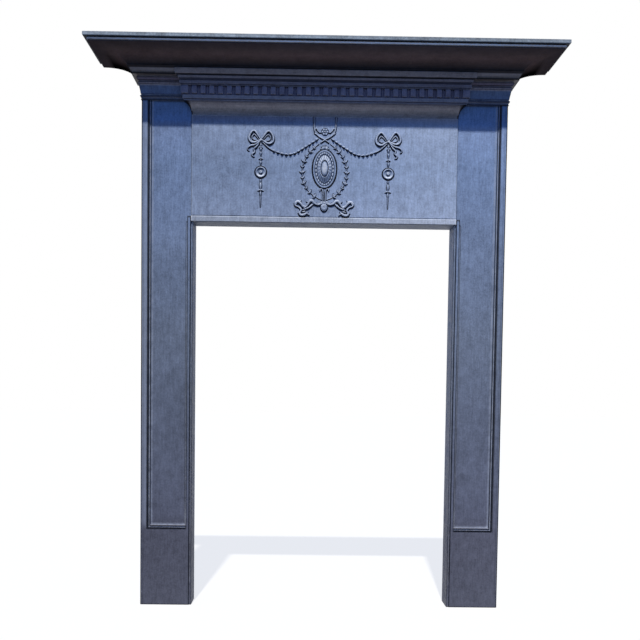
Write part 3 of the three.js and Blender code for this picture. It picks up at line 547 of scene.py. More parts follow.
def frieze_plate():
    """The frieze as upright sections along its length: front, top flange, back and soffit in one
    closed loop. Near both ends the back moves out to the side flange, and the front rounds in."""
    outline = np.array([
        (89, 914.0), (27.8, 914.0), (27.2, 916.6), (25.4, 916.6), (24.9, 915.0), (23.0, 915.0),
        (23.0, 926.2), (24.4, 927.0), (25.6, 927.0), (25.9, 928.7), (PLATE, 929.3), (PLATE, FRIEZE_TOP),
        (FLANGE_BACK, FRIEZE_TOP), (FLANGE_BACK, 1156.5), (29.3, 1156.5), (29.3, 918.5), (89, 918.5)])
    sizes = np.array([0.8, 0.4, 0.4, 0.4, 0.3, 1.6, 1.5, 0.5, 0.3, 0.3, 0.3, 0.6, 0.8, 0.8, 3, 3, 0.8])
    thin = soften(outline, sizes)
    thick = outline.copy()
    thick[14:16, 0] = 66.0
    thick = soften(thick, sizes)
    ends = np.array([FRIEZE_HALF, 312.95, 312.6, 312.0, 309.2, 308.6])
    inset = np.array([1.1, 0.45, 0.12, 0.0, 0.0, 0.0])
    middle = np.linspace(300, -300, 9)
    x = np.concatenate([-ends, [-308.6], -middle, [308.6], ends[::-1]])
    full = np.concatenate([np.ones(6), np.zeros(11), np.ones(6)])[:, None, None]
    rows = thick[None] * full + thin[None] * (1 - full)
    pull = np.concatenate([inset, np.zeros(11), inset[::-1]])[:, None]
    rows = rows.copy()
    rows[..., 0] += pull * (rows[..., 0] < 30) * (rows[..., 1] < 1160.5)
    return loft(np.concatenate([np.broadcast_to(x[:, None, None], rows.shape[:2] + (1,)), rows], -1))


def curve(points, count):
    """A smooth line through the points: each stretch is a cubic led by its two neighbours, and
    the line is then stepped off in equal lengths."""
    points = np.asarray(points, float)
    led = np.vstack([2 * points[0] - points[1], points, 2 * points[-1] - points[-2]])
    a, b, c, d = led[:-3, None], led[1:-2, None], led[2:-1, None], led[3:, None]
    t = np.linspace(0, 1, 16, endpoint=False)[None, :, None]
    fine = 0.5 * (2 * b + (c - a) * t + (2 * a - 5 * b + 4 * c - d) * t ** 2
                  + (3 * b - a - 3 * c + d) * t ** 3)
    fine = np.vstack([fine.reshape(-1, 2), points[-1]])
    length = np.concatenate([[0], np.cumsum(np.linalg.norm(np.diff(fine, axis=0), axis=1))])
    even = np.linspace(0, length[-1], count)
    return np.stack([np.interp(even, length, fine[:, 0]), np.interp(even, length, fine[:, 1])], 1)


def strand(path, width, height, foot=1.9):
    """A raised stem, ribbon or leaf: an arched section carried along a path in the plate's face.
    The arch stands on a thin foot that runs out into the plate. Its root is made dark, partly sooty
    and partly as painted shade, and more so on the side that faces down, while the side that faces
    up is painted paler as highlight."""
    path = np.asarray(path, float)
    share = np.linspace(0, 1, len(path))
    width = np.interp(share, np.linspace(0, 1, np.size(width)), np.ravel(width))
    height = 1.5 * np.interp(share, np.linspace(0, 1, np.size(height)), np.ravel(height))
    heading = np.gradient(path, axis=0)
    heading = heading / (np.linalg.norm(heading, axis=1, keepdims=True) + 1e-9)
    path = np.vstack([path[0] - heading[0] * 1.0, path, path[-1] + heading[-1] * 1.0])
    heading = np.vstack([heading[0], heading, heading[-1]])
    width = np.concatenate([[0], width, [0]])[:, None]
    height = np.concatenate([[0.1], height, [0.1]])[:, None]
    sideways = np.stack([-heading[:, 1], heading[:, 0]], axis=1)[:, None, :]
    side = np.array([1, 1, 1, 1, 1, 0.97, 0.74, 0.36, 0, -0.36, -0.74, -0.97, -1, -1, -1, -1, -1])
    reach = np.array([1, 1, 0.66, 0.3, 0, 0, 0, 0, 0, 0, 0, 0, 0, 0.3, 0.66, 1, 1])
    rise = np.array([0, 0, 0, 0, 0.22, 0.5, 0.82, 0.97, 1, 0.97, 0.82, 0.5, 0.22, 0, 0, 0, 0])
    base = np.array([-0.6, 0.03, 0.06, 0.12, 0, 0, 0, 0, 0, 0, 0, 0, 0, 0.12, 0.06, 0.03, -0.6])
    shade = np.array([0, 0, -0.6, -0.95, -0.9, -0.55, 0.05, 0.35, 0.45, 0.35, 0.05, -0.55, -0.9, -0.95,
                      -0.6, 0, 0])
    # How far each side faces up: it paints the upper side paler as highlight and the lower one darker
    # as shade.
    up = side * sideways[..., 1]
    wide = side * width + np.sign(side) * reach * foot * (1 - 0.5 * up)
    out = rise * height + base
    wear_and_shade = np.clip(np.where(shade != 0, shade + 0.75 * up, 0.0), -1, 1)
    wear_and_shade = np.where(height < 0.3, np.minimum(wear_and_shade, -0.3), wear_and_shade)
    place = path[:, None, :] + sideways * wide[..., None]
    points, faces = loft(np.stack([place[..., 0], PLATE - out, place[..., 1]], -1))
    return points, faces, wear_and_shade.ravel()


def leaf(x, z, heading, length, width, height, curl=0.0):
    """A pointed leaf or husk from its base: a strand that swells near the base, thins to its tip
    and may curl. Its heading is an angle in the plate's face, from +x towards up."""
    s = np.linspace(0, 1, 7)
    turn = heading + curl * s
    step = np.stack([np.cos(turn), np.sin(turn)], 1) * length / 6
    path = np.array([x, z]) + np.vstack([[0, 0], np.cumsum(step[:-1], axis=0)])
    swell = np.sin(np.pi * np.clip(s * 0.93 + 0.05, 0, 1) ** 0.75) ** 0.8
    return strand(path, 0.12 + width * swell, 0.5 + height * swell * (1 - 0.25 * s), foot=1.6)


def disc(x, z, reach_x, reach_z, height, wear_and_shade, turns):
    """A round or oval boss: rings about its middle, each at its own half-widths, with heights
    and marks of rubbing, grime and painted light and shade for every ring or for every point. A
    foot ring runs out into the plate."""
    turn = np.linspace(0, 2 * np.pi, turns, endpoint=False)[None, :]
    reach_x = np.concatenate([reach_x, [reach_x[-1] + 1.5, reach_x[-1] + 1.5]])[:, None]
    reach_z = np.concatenate([reach_z, [reach_z[-1] + 1.5, reach_z[-1] + 1.5]])[:, None]
    height = np.vstack([height + 0 * turn, np.full(turn.shape, 0.03), np.full(turn.shape, -0.6)])
    wear_and_shade = np.vstack([wear_and_shade + 0 * turn, 0 * turn, 0 * turn])
    place = np.stack([x + reach_x * np.cos(turn), PLATE - height, z + reach_z * np.sin(turn)], -1)
    points, faces = loft(place)
    return points, faces, wear_and_shade.ravel()


def rings(*values):
    """Values as an upright column, one for each ring."""
    return np.array(values, float)[:, None]


def patera():
    """The oval patera, by rings from its middle: a domed boss, a cone of petals that falls
    outwards, a row of pearls and a rounded rim, with a quirk made dark between each two, partly
    sooty and partly as painted shade."""
    turn = np.linspace(0, 2 * np.pi, 156, endpoint=False)[None, :]
    share = np.array([0.001, 0.06, 0.12, 0.18, 0.24, 0.29, 0.325, 0.342, 0.365, 0.385, 0.41, 0.45,
                      0.50, 0.55, 0.60, 0.63, 0.648, 0.665, 0.69, 0.72, 0.75, 0.775, 0.795, 0.81,
                      0.83, 0.85, 0.885, 0.92, 0.95, 0.975, 0.99, 1.0])
    dome = 4.6 + 4.8 * np.sqrt(np.clip(1 - (share / 0.335) ** 2, 0, 1))
    cone = np.interp(share, [0.365, 0.39, 0.43, 0.62, 0.64], [4.6, 6.8, 6.6, 2.0, 1.4])
    rim = 0.8 + 1.5 * np.sqrt(np.clip(1 - ((share - 0.88) / 0.08) ** 2, 0, 1))
    height = np.select([share < 0.335, share < 0.36, share < 0.645, share < 0.67, share < 0.80,
                        share < 0.825, share < 0.96], [dome, 2.6, cone, 0.7, 1.1, 0.7, rim], 0.12)
    height = height[:, None] + 0 * turn
    petals = np.abs(np.cos(11 * turn)) ** 0.6
    zone = ((share > 0.39) & (share < 0.62))[:, None]
    height = height - np.where(zone, (1 - petals) * 1.3, 0)
    pearls = np.abs(np.sin(13 * turn)) ** 0.7
    band = np.sqrt(np.clip(1 - ((share - 0.733) / 0.062) ** 2, 0, 1))[:, None]
    height = height + 2.3 * band * pearls * ((share > 0.66) & (share < 0.80))[:, None]
    wear_and_shade = np.interp(height, [0.1, 0.8, 1.6, 3.0, 4.6, 8.0], [-1, -0.95, -0.25, 0.55, 0.55, 0.9])
    wear_and_shade = np.where((share < 0.335)[:, None], np.interp(share, [0, 0.2, 0.3, 0.335],
                                                        [0.7, 0.6, 0.1, -0.6])[:, None], wear_and_shade)
    wear_and_shade = np.where(((share > 0.335) & (share < 0.37))[:, None], -1.0, wear_and_shade)
    # The petals are painted paler towards the top, as highlight, with painted shade between them, and
    # the rim is painted paler towards the top.
    upper = 0.5 + 0.5 * np.sin(turn)
    wear_and_shade = np.where(zone, petals * (0.05 + 0.85 * upper) - 0.8 * (1 - petals), wear_and_shade)
    edge = np.interp(share, [0.83, 0.86, 0.91, 0.94], [-0.4, 0.15, 0.0, -1.3])[:, None]
    wear_and_shade = np.where((share > 0.83)[:, None], edge + 0.25 * upper, wear_and_shade)
    return disc(0.0, 1040.0, np.interp(share, [0, 0.335, 0.733, 1], [0, 8.2, 20.2, 29.6]),
                np.interp(share, [0, 0.335, 0.733, 1], [0, 17.5, 37.0, 46.4]), height, wear_and_shade, 156)


def ring_patera(x, z):
    """A small round patera: a button in a dish with a rounded rim. Slopes that face up are painted
    pale as highlight and the ones under them painted dark as shade, so the rim's inside is pale at its
    foot."""
    reach = np.array([0.02, 1.2, 2.6, 3.7, 4.5, 5.2, 6.4, 7.6, 8.6, 9.6, 10.8, 11.8, 12.6, 13.4, 14.6])
    height = rings(2.3, 2.9, 3.1, 2.4, 1.2, 0.5, 0.4, 0.6, 1.3, 2.8, 3.6, 3.2, 1.7, 0.4, 0.10)
    wear_and_shade = rings(0.2, 0.3, 0.4, 0.0, -0.6, -0.5, 0.0, 0.1, 0.2, 0.4, 0.4, 0.1, -0.7, -1, -1)
    slope_light = rings(0.1, 0.5, 0.8, 0.8, 0.5, -0.1, -0.3, -0.6, -0.9, -0.8, 0.1, 0.4, 0.3, 0.0, 0.0)
    turn = np.linspace(0, 2 * np.pi, 40, endpoint=False)[None, :]
    return disc(x, z, reach, reach, height, np.clip(wear_and_shade + slope_light * np.sin(turn), -1, 1), 40)


def rosette(x, z, petals):
    """A small flower: a button, a quirk made dark, partly sooty and partly as painted shade, and
    petals that lift towards their tips.
    """
    turn = np.linspace(0, 2 * np.pi, 60, endpoint=False)[None, :]
    lobe = np.abs(np.cos(petals / 2 * turn))
    reach = np.array([0.02, 1.1, 1.9, 2.4, 2.9, 3.8, 5.2, 6.8, 8.0, 8.6])
    base = rings(3.6, 3.4, 2.6, 1.2, 1.2, 2.2, 2.7, 2.5, 1.5, 0.12)
    dip = rings(0, 0, 0, 0, 0.3, 0.9, 1.3, 1.7, 1.3, 0)
    wear_and_shade = rings(0.5, 0.8, 0.2, -1, -0.9, 0.1, 0.4, 0.5, -0.3, -1) - 1.1 * dip * (1 - lobe) / 1.4
    return disc(x, z, reach, reach, base - dip * (1 - lobe), wear_and_shade, 60)


def shell():
    """The scallop shell that the stem ends in: a flat dome whose flutes run out to its rim."""
    turn = np.linspace(0, 2 * np.pi, 60, endpoint=False)[None, :]
    flute = np.abs(np.cos(6.0 * turn)) ** 0.7
    reach = np.array([0.02, 0.2, 0.42, 0.62, 0.80, 0.92, 1.0])
    height = (rings(2.6, 3.6, 4.4, 4.6, 3.8, 2.2, 0.3)
              - rings(0, 0.2, 0.8, 1.4, 1.6, 1.0, 0) * (1 - flute))
    wear_and_shade = (rings(-0.4, 0.5, 0.7, 0.6, 0.3, -0.6, -1)
            - rings(0, 0.5, 1.2, 1.4, 1.2, 0.4, 0) * (1 - flute))
    # The upper half is painted paler, as highlight.
    wear_and_shade = np.clip(wear_and_shade + 0.35 * np.sin(turn) * rings(0, 0.5, 1, 1, 1, 1, 0), -1, 1)
    return disc(0.0, 950.5, 9.0 * reach, 11.0 * reach, height, wear_and_shade, 60)


def handed(side):
    """What one side draws with, as given for the right and mirrored for the left: a smooth line
    through points, and an angle."""
    def line(points, count=22):
        """The smooth line, with its places to the side turned over on the left."""
        return curve(np.array(points) * [side, 1], count)

    def aside(angle):
        """The angle, or on the left half a turn less it."""
        return angle if side > 0 else np.pi - angle

    return line, aside


def bow(side):
    """A bow on one side with what hangs from it: two looped ribbons and a knot, two fluttering
    tails, a drop of husks, a ring patera, and a leaf with its tendril."""
    line, aside = handed(side)
    x = 150.0 * side
    figures = [
        strand(line([(151, 1106), (157, 1116), (165.5, 1126), (173, 1122), (178, 1111), (175, 1102),
                     (167, 1099), (158, 1102), (151, 1106)], 30), [1.1, 2.6, 1.9, 2.4, 2.2, 2.5, 1.2],
               [2.6, 3.4, 3.0, 3.2, 2.6]),
        strand(line([(156, 1107), (162, 1115), (167, 1118), (171, 1111), (167, 1106), (160, 1105)], 16),
               [0.7, 1.2, 0.9, 0.7], [1.4, 2.0, 1.4]),
        strand(line([(149, 1106), (142, 1116), (133, 1125.5), (125, 1120), (120.5, 1109), (123, 1100),
                     (132, 1096.5), (141, 1101), (149, 1106)], 30), [1.1, 2.5, 1.9, 2.4, 2.2, 2.6, 1.2],
               [2.6, 3.4, 3.0, 3.2, 2.6]),
        strand(line([(144, 1107), (137, 1115), (131, 1117), (127, 1109), (132, 1104), (140, 1104)], 16),
               [0.7, 1.2, 0.9, 0.7], [1.4, 2.0, 1.4]),
        strand(line([(151, 1104), (157, 1098), (165, 1093.5), (173, 1092), (180, 1087.5), (181, 1082),
                     (177, 1079.5)], 20), [1.3, 2.3, 1.5, 2.4, 1.6, 1.1, 0.5], [2.8, 3.2, 2.2, 3, 1.6]),
        strand(line([(154, 1099), (160, 1090), (166.5, 1084), (165, 1077), (170, 1072.5), (170, 1068),
                     (165, 1066)], 20), [1.0, 1.6, 2.2, 1.3, 2.1, 1.4, 0.5], [2.2, 3.0, 2.2, 2.8, 1.6]),
        disc(x, 1105.5, np.array([0.02, 1.6, 2.8, 3.4, 3.7]), np.array([0.02, 1.5, 2.6, 3.1, 3.5]),
             rings(4.4, 4.1, 3.0, 1.2, 0.12), rings(0.8, 0.7, 0.2, -0.8, -1), 20),
        strand(line([(150.6, 1100), (150.2, 1075), (150, 1046)]), 0.55, 1.2),
        strand(line([(150, 1014), (150, 975), (150, 949)]), [0.8, 0.6, 0.9, 0.35], 1.4),
        ring_patera(x, 1030.4),
        leaf(x, 1006, DOWN, 17, 2.8, 3.0), leaf(x, 985, DOWN, 12, 1.9, 2.4),
        leaf(x, 990, aside(-0.35), 8, 1.6, 2.2), leaf(x, 990, aside(np.pi + 0.35), 8, 1.6, 2.2),
        leaf(x, 1013.5, DOWN, 6, 1.9, 2.4),
    ]
    for z, size in ((1097, 9.5), (1087.5, 9.5), (1078, 10), (1056, 9)):
        figures.append(leaf(x, z, DOWN, size, 2.1, 2.8))
    for z, size in ((1090, 5.5), (1064, 6.5)):
        figures.append(leaf(x, z, aside(-0.6), size, 1.2, 1.9))
        figures.append(leaf(x, z, aside(np.pi + 0.6), size, 1.2, 1.9))
    return figures


def hanging(side):
    """The rest of one side: a swag of husks, half of the wreath with its sprigs, a ribbon from
    the cornice that crosses into it, half of the stem and shell, and a fluttering ribbon."""
    line, aside = handed(side)
    husks = line([(146, 1100), (127.5, 1084.5), (107, 1076), (93, 1072.8), (81.5, 1073), (68, 1077),
                  (50, 1088), (31, 1100), (14, 1111.5)], 61)
    figures = [strand(husks[:14], [1.1, 1.5, 0.9], [2.2, 2.6, 1.8]),
               strand(husks[13:], 0.35, 0.7, foot=0.8)]
    for i in range(12, 58, 4):
        step = husks[i + 2] - husks[i]
        figures.append(leaf(*husks[i], math.atan2(step[1], step[0]), 7.6, 2.4, 3.6))
    wreath = line([(14, 1098), (24, 1090), (37, 1077), (46, 1062), (51.8, 1044), (52, 1024),
                   (48, 1007), (41, 994.5), (31, 983.5), (19, 974.5), (6, 968.5)], 91)
    figures.append(strand(wreath[::3], 0.6, 1.3, foot=1.6))
    for i, big in ((9, 0), (16, 1), (24, 0), (31, 1), (38, 0), (45, 1), (52, 0), (59, 1), (66, 0),
                   (73, 1), (81, 1)):
        step = wreath[i] - wreath[i + 3]
        way = math.atan2(step[1], step[0])
        size = 7.6 if big else 5.6
        for lean in ((0.0, 0.85, -0.85) if big else (0.65, -0.65)):
            figures.append(leaf(*wreath[i], way + lean, size, 1.45 if big else 1.15, 2.5, lean * 0.3))
    figures.append(strand(
        line([(26, 1160), (25.7, 1148), (25, 1134), (21, 1122), (12, 1114), (0, 1107.5), (-10, 1101)],
             30), [1.5, 1.2, 1.5, 1.1, 1.2], [1.8, 2.0, 2.2]))
    figures.append(strand(line([(24, 1131), (20.5, 1134), (17, 1129), (13, 1124.5), (9, 1125)], 12),
                          [0.9, 1.3, 0.8], 1.8))
    figures.append(leaf(19 * side, 1120, aside(0.2), 7, 1.2, 2.0, 0.9 * side))
    figures.append(strand(line([(10.5, 989), (9.4, 993), (6.0, 994), (3.6, 989), (2.7, 979),
                                (3.4, 966)], 18), [1.5, 1.0, 1.3, 1.2, 1.1, 1.0], [2.4, 2.2, 2.6]))
    for angle, size in ((0.12, 7.5), (0.85, 8.0), (1.35, 8.6)):
        figures.append(leaf(2.5 * side, 1085.5, aside(angle), size, 1.6, 2.4, 0.2 * side))
    for angle, size in ((0.35, 9.0), (-0.1, 12.0), (-0.45, 13.0)):
        figures.append(leaf(1.2 * side, 961.5, aside(angle), size, 2.0, 2.9))
    for x, z, angle, size in ((16, 957, 1.3, 5.0), (24, 962, -1.0, 6.0), (37, 961, 0.6, 6.0),
                              (47, 951, -1.9, 6.5), (53, 957, 0.4, 6.0), (64, 961, -1.0, 6.0),
                              (50, 932, 2.2, 5.5), (57, 938, -0.2, 5.0), (40, 936, 1.9, 5.0)):
        figures.append(leaf(x * side, z, aside(angle), size, 1.7, 3.0))
    figures.append(strand(
        line([(5, 961), (13, 957), (21, 958.5), (27, 964.5), (33, 965), (38, 958), (43.5, 951),
              (50, 953), (56, 960), (62, 963.5), (67.5, 960), (67, 954), (60, 951)], 40),
        [1.5, 2.6, 1.9, 3.3, 3.6, 2.7, 2.1, 3.3, 2.6, 3.5, 3.0, 2.2, 0.8], [2.4, 3.6, 3.0, 3.6, 2.2]))
    figures.append(strand(
        line([(62, 952), (56, 948), (54, 942.5), (57.5, 937), (54, 932), (47, 932.5), (41, 936),
              (34, 932)], 26), [1.0, 2.4, 1.9, 3.1, 2.8, 3.2, 2.0, 0.7], [2.0, 3.4, 3.2, 3.4, 1.8]))
    figures.append(strand(line([(24, 960), (31, 954), (37, 949), (44, 946.5), (51, 944)], 16),
                          [0.9, 2.4, 1.7, 2.2, 0.8], [1.8, 3.0, 1.8]))
    figures.append(leaf(31 * side, 963, aside(1.2), 6.5, 1.5, 2.4, -0.8 * side))
    figures.append(leaf(44 * side, 941, aside(-0.4), 8.5, 1.7, 2.6, 0.6 * side))
    figures.append(leaf(59 * side, 962, aside(2.2), 7.0, 1.5, 2.4, 0.5 * side))
    return figures


figures = [patera(), rosette(0.0, 1126.0, 6), leaf(0.0, 1085.5, np.pi / 2, 9.5, 1.7, 2.6),
           shell(),
           disc(0.0, 961.5, np.array([0.02, 1.8, 3.2, 4.1, 4.5]), np.array([0.02, 1.6, 2.8, 3.6, 4.0]),
                rings(4.8, 4.5, 3.2, 1.2, 0.12), rings(0.8, 0.7, 0.2, -0.8, -1), 24)]
for side in (-1, 1):
    figures += bow(side) + hanging(side)
start = np.cumsum([0] + [len(points) for points, _, _ in figures[:-1]])
relief = (np.concatenate([points for points, _, _ in figures]),
          [[i + int(first) for i in face] for (_, faces, _), first in zip(figures, start)
           for face in faces],
          np.concatenate([wear_and_shade for _, _, wear_and_shade in figures]))
# The bead along the foot is paler. From the shelf's shadow line up the tone is painted darker and
# bluer, as shade. Sides paint the right end paler than the left, as highlight, less so in the shade,
# and the painted sheen makes the right half paler still.
frieze_finish = iron(
    "frieze_iron", [
        (0.91, (0.32, 0.365, 0.455)), (0.9265, (0.32, 0.365, 0.455)), (0.9285, (0.24, 0.3, 0.43)),
        (0.97, (0.225, 0.287, 0.42)), (1.04, (0.2, 0.265, 0.4)), (1.11, (0.225, 0.29, 0.43)),
        (1.138, (0.238, 0.305, 0.45)), (1.147, (0.15, 0.212, 0.37)), (1.161, (0.175, 0.195, 0.275))],
    (0.62, 0.66, 0.72, 1), (0.004, 0.005, 0.011, 1), offset=5.0, patches=0.08,
    sides=(0.76, 1.26, 0.80, 1.06), painted_sheen=(0.08, 0.28, 0.08))
casting = make("frieze_casting", [frieze_plate(), relief],
               ["frieze_panel"], frieze_finish)


def darkened(piece, change):
    """Works over the stored marks of a finished piece, its rubbing, grime and painted light and
    shade: change takes its points, in millimetres, and their values, and gives the new values."""
    spot = np.empty(len(piece.data.vertices) * 3)
    piece.data.vertices.foreach_get("co", spot)
    old_wear_and_shade = np.empty(len(piece.data.vertices))
    store = piece.data.attributes["wear_and_shade"].data
    store.foreach_get("value", old_wear_and_shade)
    store.foreach_set("value", change(spot.reshape(-1, 3) * 1000, old_wear_and_shade).astype(np.float32))


# The joint with each jamb is a dark line, from the bead up to the cornice.
darkened(casting, lambda at, old_wear_and_shade: np.where((np.abs(at[:, 0]) > 312.3) & (at[:, 2] > 927.5), -1.0, old_wear_and_shade))


# ---- Cornice ------------------------------------------------------------------------------------
# The breakfront cornice is one casting, open behind: a cove, a row of 33 dentils between two
# fillets, and the top mouldings. It bolts to the frieze's flange, and its flared ends lap the jambs.
CORNICE_FOOT = 1161.3
CORNICE = [(0, 0), (0.3, 4), (1.2, 9), (2.8, 14), (5.0, 18.5), (8.2, 22.8), (11.6, 25.9), (15, 28),
           (15.8, 28.2), (15.8, 31.8), (18.6, 32.6), (19.0, 40.2), (16.2, 40.8), (16.2, 60.6),
           (23.6, 60.9), (23.6, 63.0), (22.4, 63.6), (25.0, 64.4), (25.8, 70.4), (23.2, 71.4),
           (24.6, 73.8), (28.2, 76.6), (29.2, 81.0), (26.8, 82.0), (27.6, 83.2), (34.4, 84.0),
           (35, 85.2), (35, 96.6)]
CORNICE_ROUND = [0.2] + [2] * 7 + [0.5] * 4 + [0.3, 0.4, 0.6] + [0.4] * 12 + [0.8]


def cornice_front():
    """The cornice's front as upright sections along its length, each one closed loop of mouldings,
    lip, top plate, the hollow behind and the floor. At both ends the hollow fills up to a wall."""
    inner = [(23.7, 97), (22.9, 91.9), (-43.2, 91.9), (-43.2, 87.3), (22.5, 87.3), (18.5, 66),
             (12.2, 58), (12.6, 33), (9, 29), (3, 21), (-2.2, 10), (-4.5, 4.5), (-43.2, 4.5),
             (-43.2, 0)]
    outline = np.array(CORNICE + inner, float)
    sizes = CORNICE_ROUND + [0.6, 0.2, 0.6, 0.6] + [1.5] * 8 + [0.6, 0.6]
    hollow = soften(outline, sizes, 2, 0.35)
    filled = outline.copy()
    filled[len(CORNICE) + 4:len(CORNICE) + 12, 0] = -41.0
    filled = soften(filled, sizes, 2, 0.35)
    x = np.array([-313.1, -309, -308.6, -308.6, -200, -100, 0, 100, 200, 308.6, 308.6, 309, 313.1])
    full = np.array([1, 1, 1, 0, 0, 0, 0, 0, 0, 0, 1, 1, 1.0])[:, None, None]
    rows = filled[None] * full + hollow[None] * (1 - full)
    place = np.stack([np.broadcast_to(x[:, None], rows.shape[:2]), PLATE - rows[..., 0],
                      CORNICE_FOOT + rows[..., 1]], -1)
    return loft(place)


def cornice_return(side):
    """One flared end as level sections: from the frieze's joint line out to the mitre, and back
    to the face of the jamb behind it, which is the panel below and the jamb's own cap above."""
    outline = np.array(CORNICE + [(-20, 96.6), (-20, 0)], float)
    fine = soften(outline, CORNICE_ROUND + [0, 0], 2, 0.35)[:5 * len(CORNICE)]
    out, up = fine[2:, 0], fine[2:, 1]
    z = CORNICE_FOOT + up
    cap = np.interp(z, [CAP_FOOT - 0.01] + [CAP_FOOT + c[1] for c in CAP],
                    [-5.5] + [c[0] for c in CAP])
    back = FACE - 0.3 - np.maximum.accumulate(np.where(z > BODY_TOP, 21.6, cap))
    back = np.maximum(back, PLATE - out + 0.4)
    outer = JOINT + np.maximum(out, 0.02)
    inner = np.full(len(z), 313.0)
    plan = np.stack([
        np.stack([inner, PLATE - out], -1), np.stack([outer, PLATE - out], -1),
        np.stack([outer, back], -1), np.stack([inner, back], -1)], axis=1)
    plan = soften(plan, [0, 0.9, 0.3, 0], 3, 0.4)
    return loft(np.stack([side * plan[..., 0], plan[..., 1],
                          np.broadcast_to(z[:, None], plan.shape[:2])], -1))


def many(points, faces, moves):
    """The same part again at each of several moves, as one part."""
    moved = points[None] + np.asarray(moves, float)[:, None, :]
    first = np.arange(len(moved)) * len(points)
    return moved.reshape(-1, 3), [[i + int(s) for i in face] for s in first for face in faces]


def tooth(width, low, high, front, back, round_edge):
    """A block with rounded edges: its outline, rounded at the corners, carried from back to
    front and drawn in over the last steps."""
    half = width / 2
    outline = soften([(-half, low), (half, low), (half, high), (-half, high)], round_edge, 2, 0.4)
    middle = np.array([0, (low + high) / 2])
    steps = np.array([back, front + round_edge, front + round_edge * 0.35, front])
    inset = np.array([0, 0, 0.3, 1.0]) * round_edge
    size = np.array([half, (high - low) / 2])
    rows = middle + (outline - middle)[None] * (1 - inset[:, None, None] / size)
    depth = np.broadcast_to(steps[:, None], rows.shape[:2])
    return loft(np.stack([rows[..., 0], depth, rows[..., 1]], -1))


DENTILS = 33
ROW_HALF = 331.4
END_ROOM = 12.6
TOOTH = (1204.2, 1221.6)
pitch_x = (2 * ROW_HALF - END_ROOM) / (DENTILS - 1)
places = -ROW_HALF + END_ROOM / 2 + np.arange(DENTILS) * pitch_x
dentils = many(*tooth(11.2, *TOOTH, 2.2, 9.6, 1.0),
               np.stack([places[1:-1], 0 * places[1:-1], 0 * places[1:-1]], 1))
gaps = (places[1:] + places[:-1]) / 2
ribs = many(*tooth(1.3, 1203.8, 1221.8, 6.0, 9.6, 0.3), np.stack([gaps, 0 * gaps, 0 * gaps], 1))
corner_teeth = []
for side in (-1, 1):
    for width, front, back, rounded, off in ((17.2, 2.2, 15.0, 1.0, 4.5 - 8.6),
                                             (7.0, 18.2, 21.2, 0.6, 1.0)):
        points, faces = tooth(width, *TOOTH, front, back, rounded)
        corner_teeth.append((points + [side * (ROW_HALF + off), 0, 0], faces))
# Its height bands are painted light and shade: a brown band in the cove is painted reflection of the
# floor, pale bands are painted highlight on the fillets, and dark lines are painted shadow under the
# mouldings.
cornice_finish = iron(
    "cornice_iron", [
        (1.161, (0.15, 0.165, 0.205)), (1.168, (0.195, 0.185, 0.195)), (1.174, (0.28, 0.25, 0.235)),
        (1.18, (0.43, 0.37, 0.35)), (1.186, (0.33, 0.3, 0.31)), (1.189, (0.14, 0.145, 0.185)),
        (1.193, (0.13, 0.14, 0.2)), (1.1945, (0.19, 0.205, 0.275)), (1.2012, (0.2, 0.215, 0.28)),
        (1.203, (0.1, 0.11, 0.18)), (1.206, (0.13, 0.14, 0.235)), (1.2215, (0.13, 0.14, 0.235)),
        (1.2222, (0.04, 0.045, 0.075)), (1.2245, (0.04, 0.045, 0.075)), (1.2258, (0.135, 0.14, 0.195)),
        (1.2315, (0.145, 0.15, 0.205)), (1.2325, (0.05, 0.055, 0.09)), (1.2372, (0.055, 0.06, 0.09)),
        (1.2385, (0.19, 0.18, 0.215)), (1.2422, (0.18, 0.17, 0.2)), (1.2432, (0.03, 0.035, 0.05)),
        (1.2448, (0.03, 0.035, 0.05)), (1.246, (0.3, 0.265, 0.265)), (1.256, (0.28, 0.25, 0.25)),
        (1.2579, (0.06, 0.06, 0.065))],
    (0.30, 0.30, 0.36, 1), (0.003, 0.004, 0.008, 1), along=(0.12, 1.0, 1.0), offset=9.0)
parts = [cornice_front(), cornice_return(-1), cornice_return(1), dentils, ribs] + corner_teeth
casting = make("cornice_casting", parts, ["cornice"], cornice_finish)
# The outer edges of the flared ends of the cove, where they stand against the jambs' panels, are made
# dark.
flare_up, flare_out = [c[1] for c in CORNICE], [c[0] for c in CORNICE]
darkened(casting, lambda at, old_wear_and_shade: np.where(
    (np.abs(at[:, 0]) > JOINT + np.interp(at[:, 2] - CORNICE_FOOT, flare_up, flare_out) - 1.45)
    & (at[:, 2] < CORNICE_FOOT + 28.5), -1.0, old_wear_and_shade))


# ---- Bed mould ----------------------------------------------------------------------------------
# The great cove under the shelf is one hollow casting, round three sides, with a fillet and quirk
# at its lip and a flange at its foot that the shelf bolts pass through. It is near black; the
# brown in its cove and the pale band at its foot are painted reflection of the floor, and the
# pale fillet at its lip is painted highlight.
BED_FOOT = 1253.3


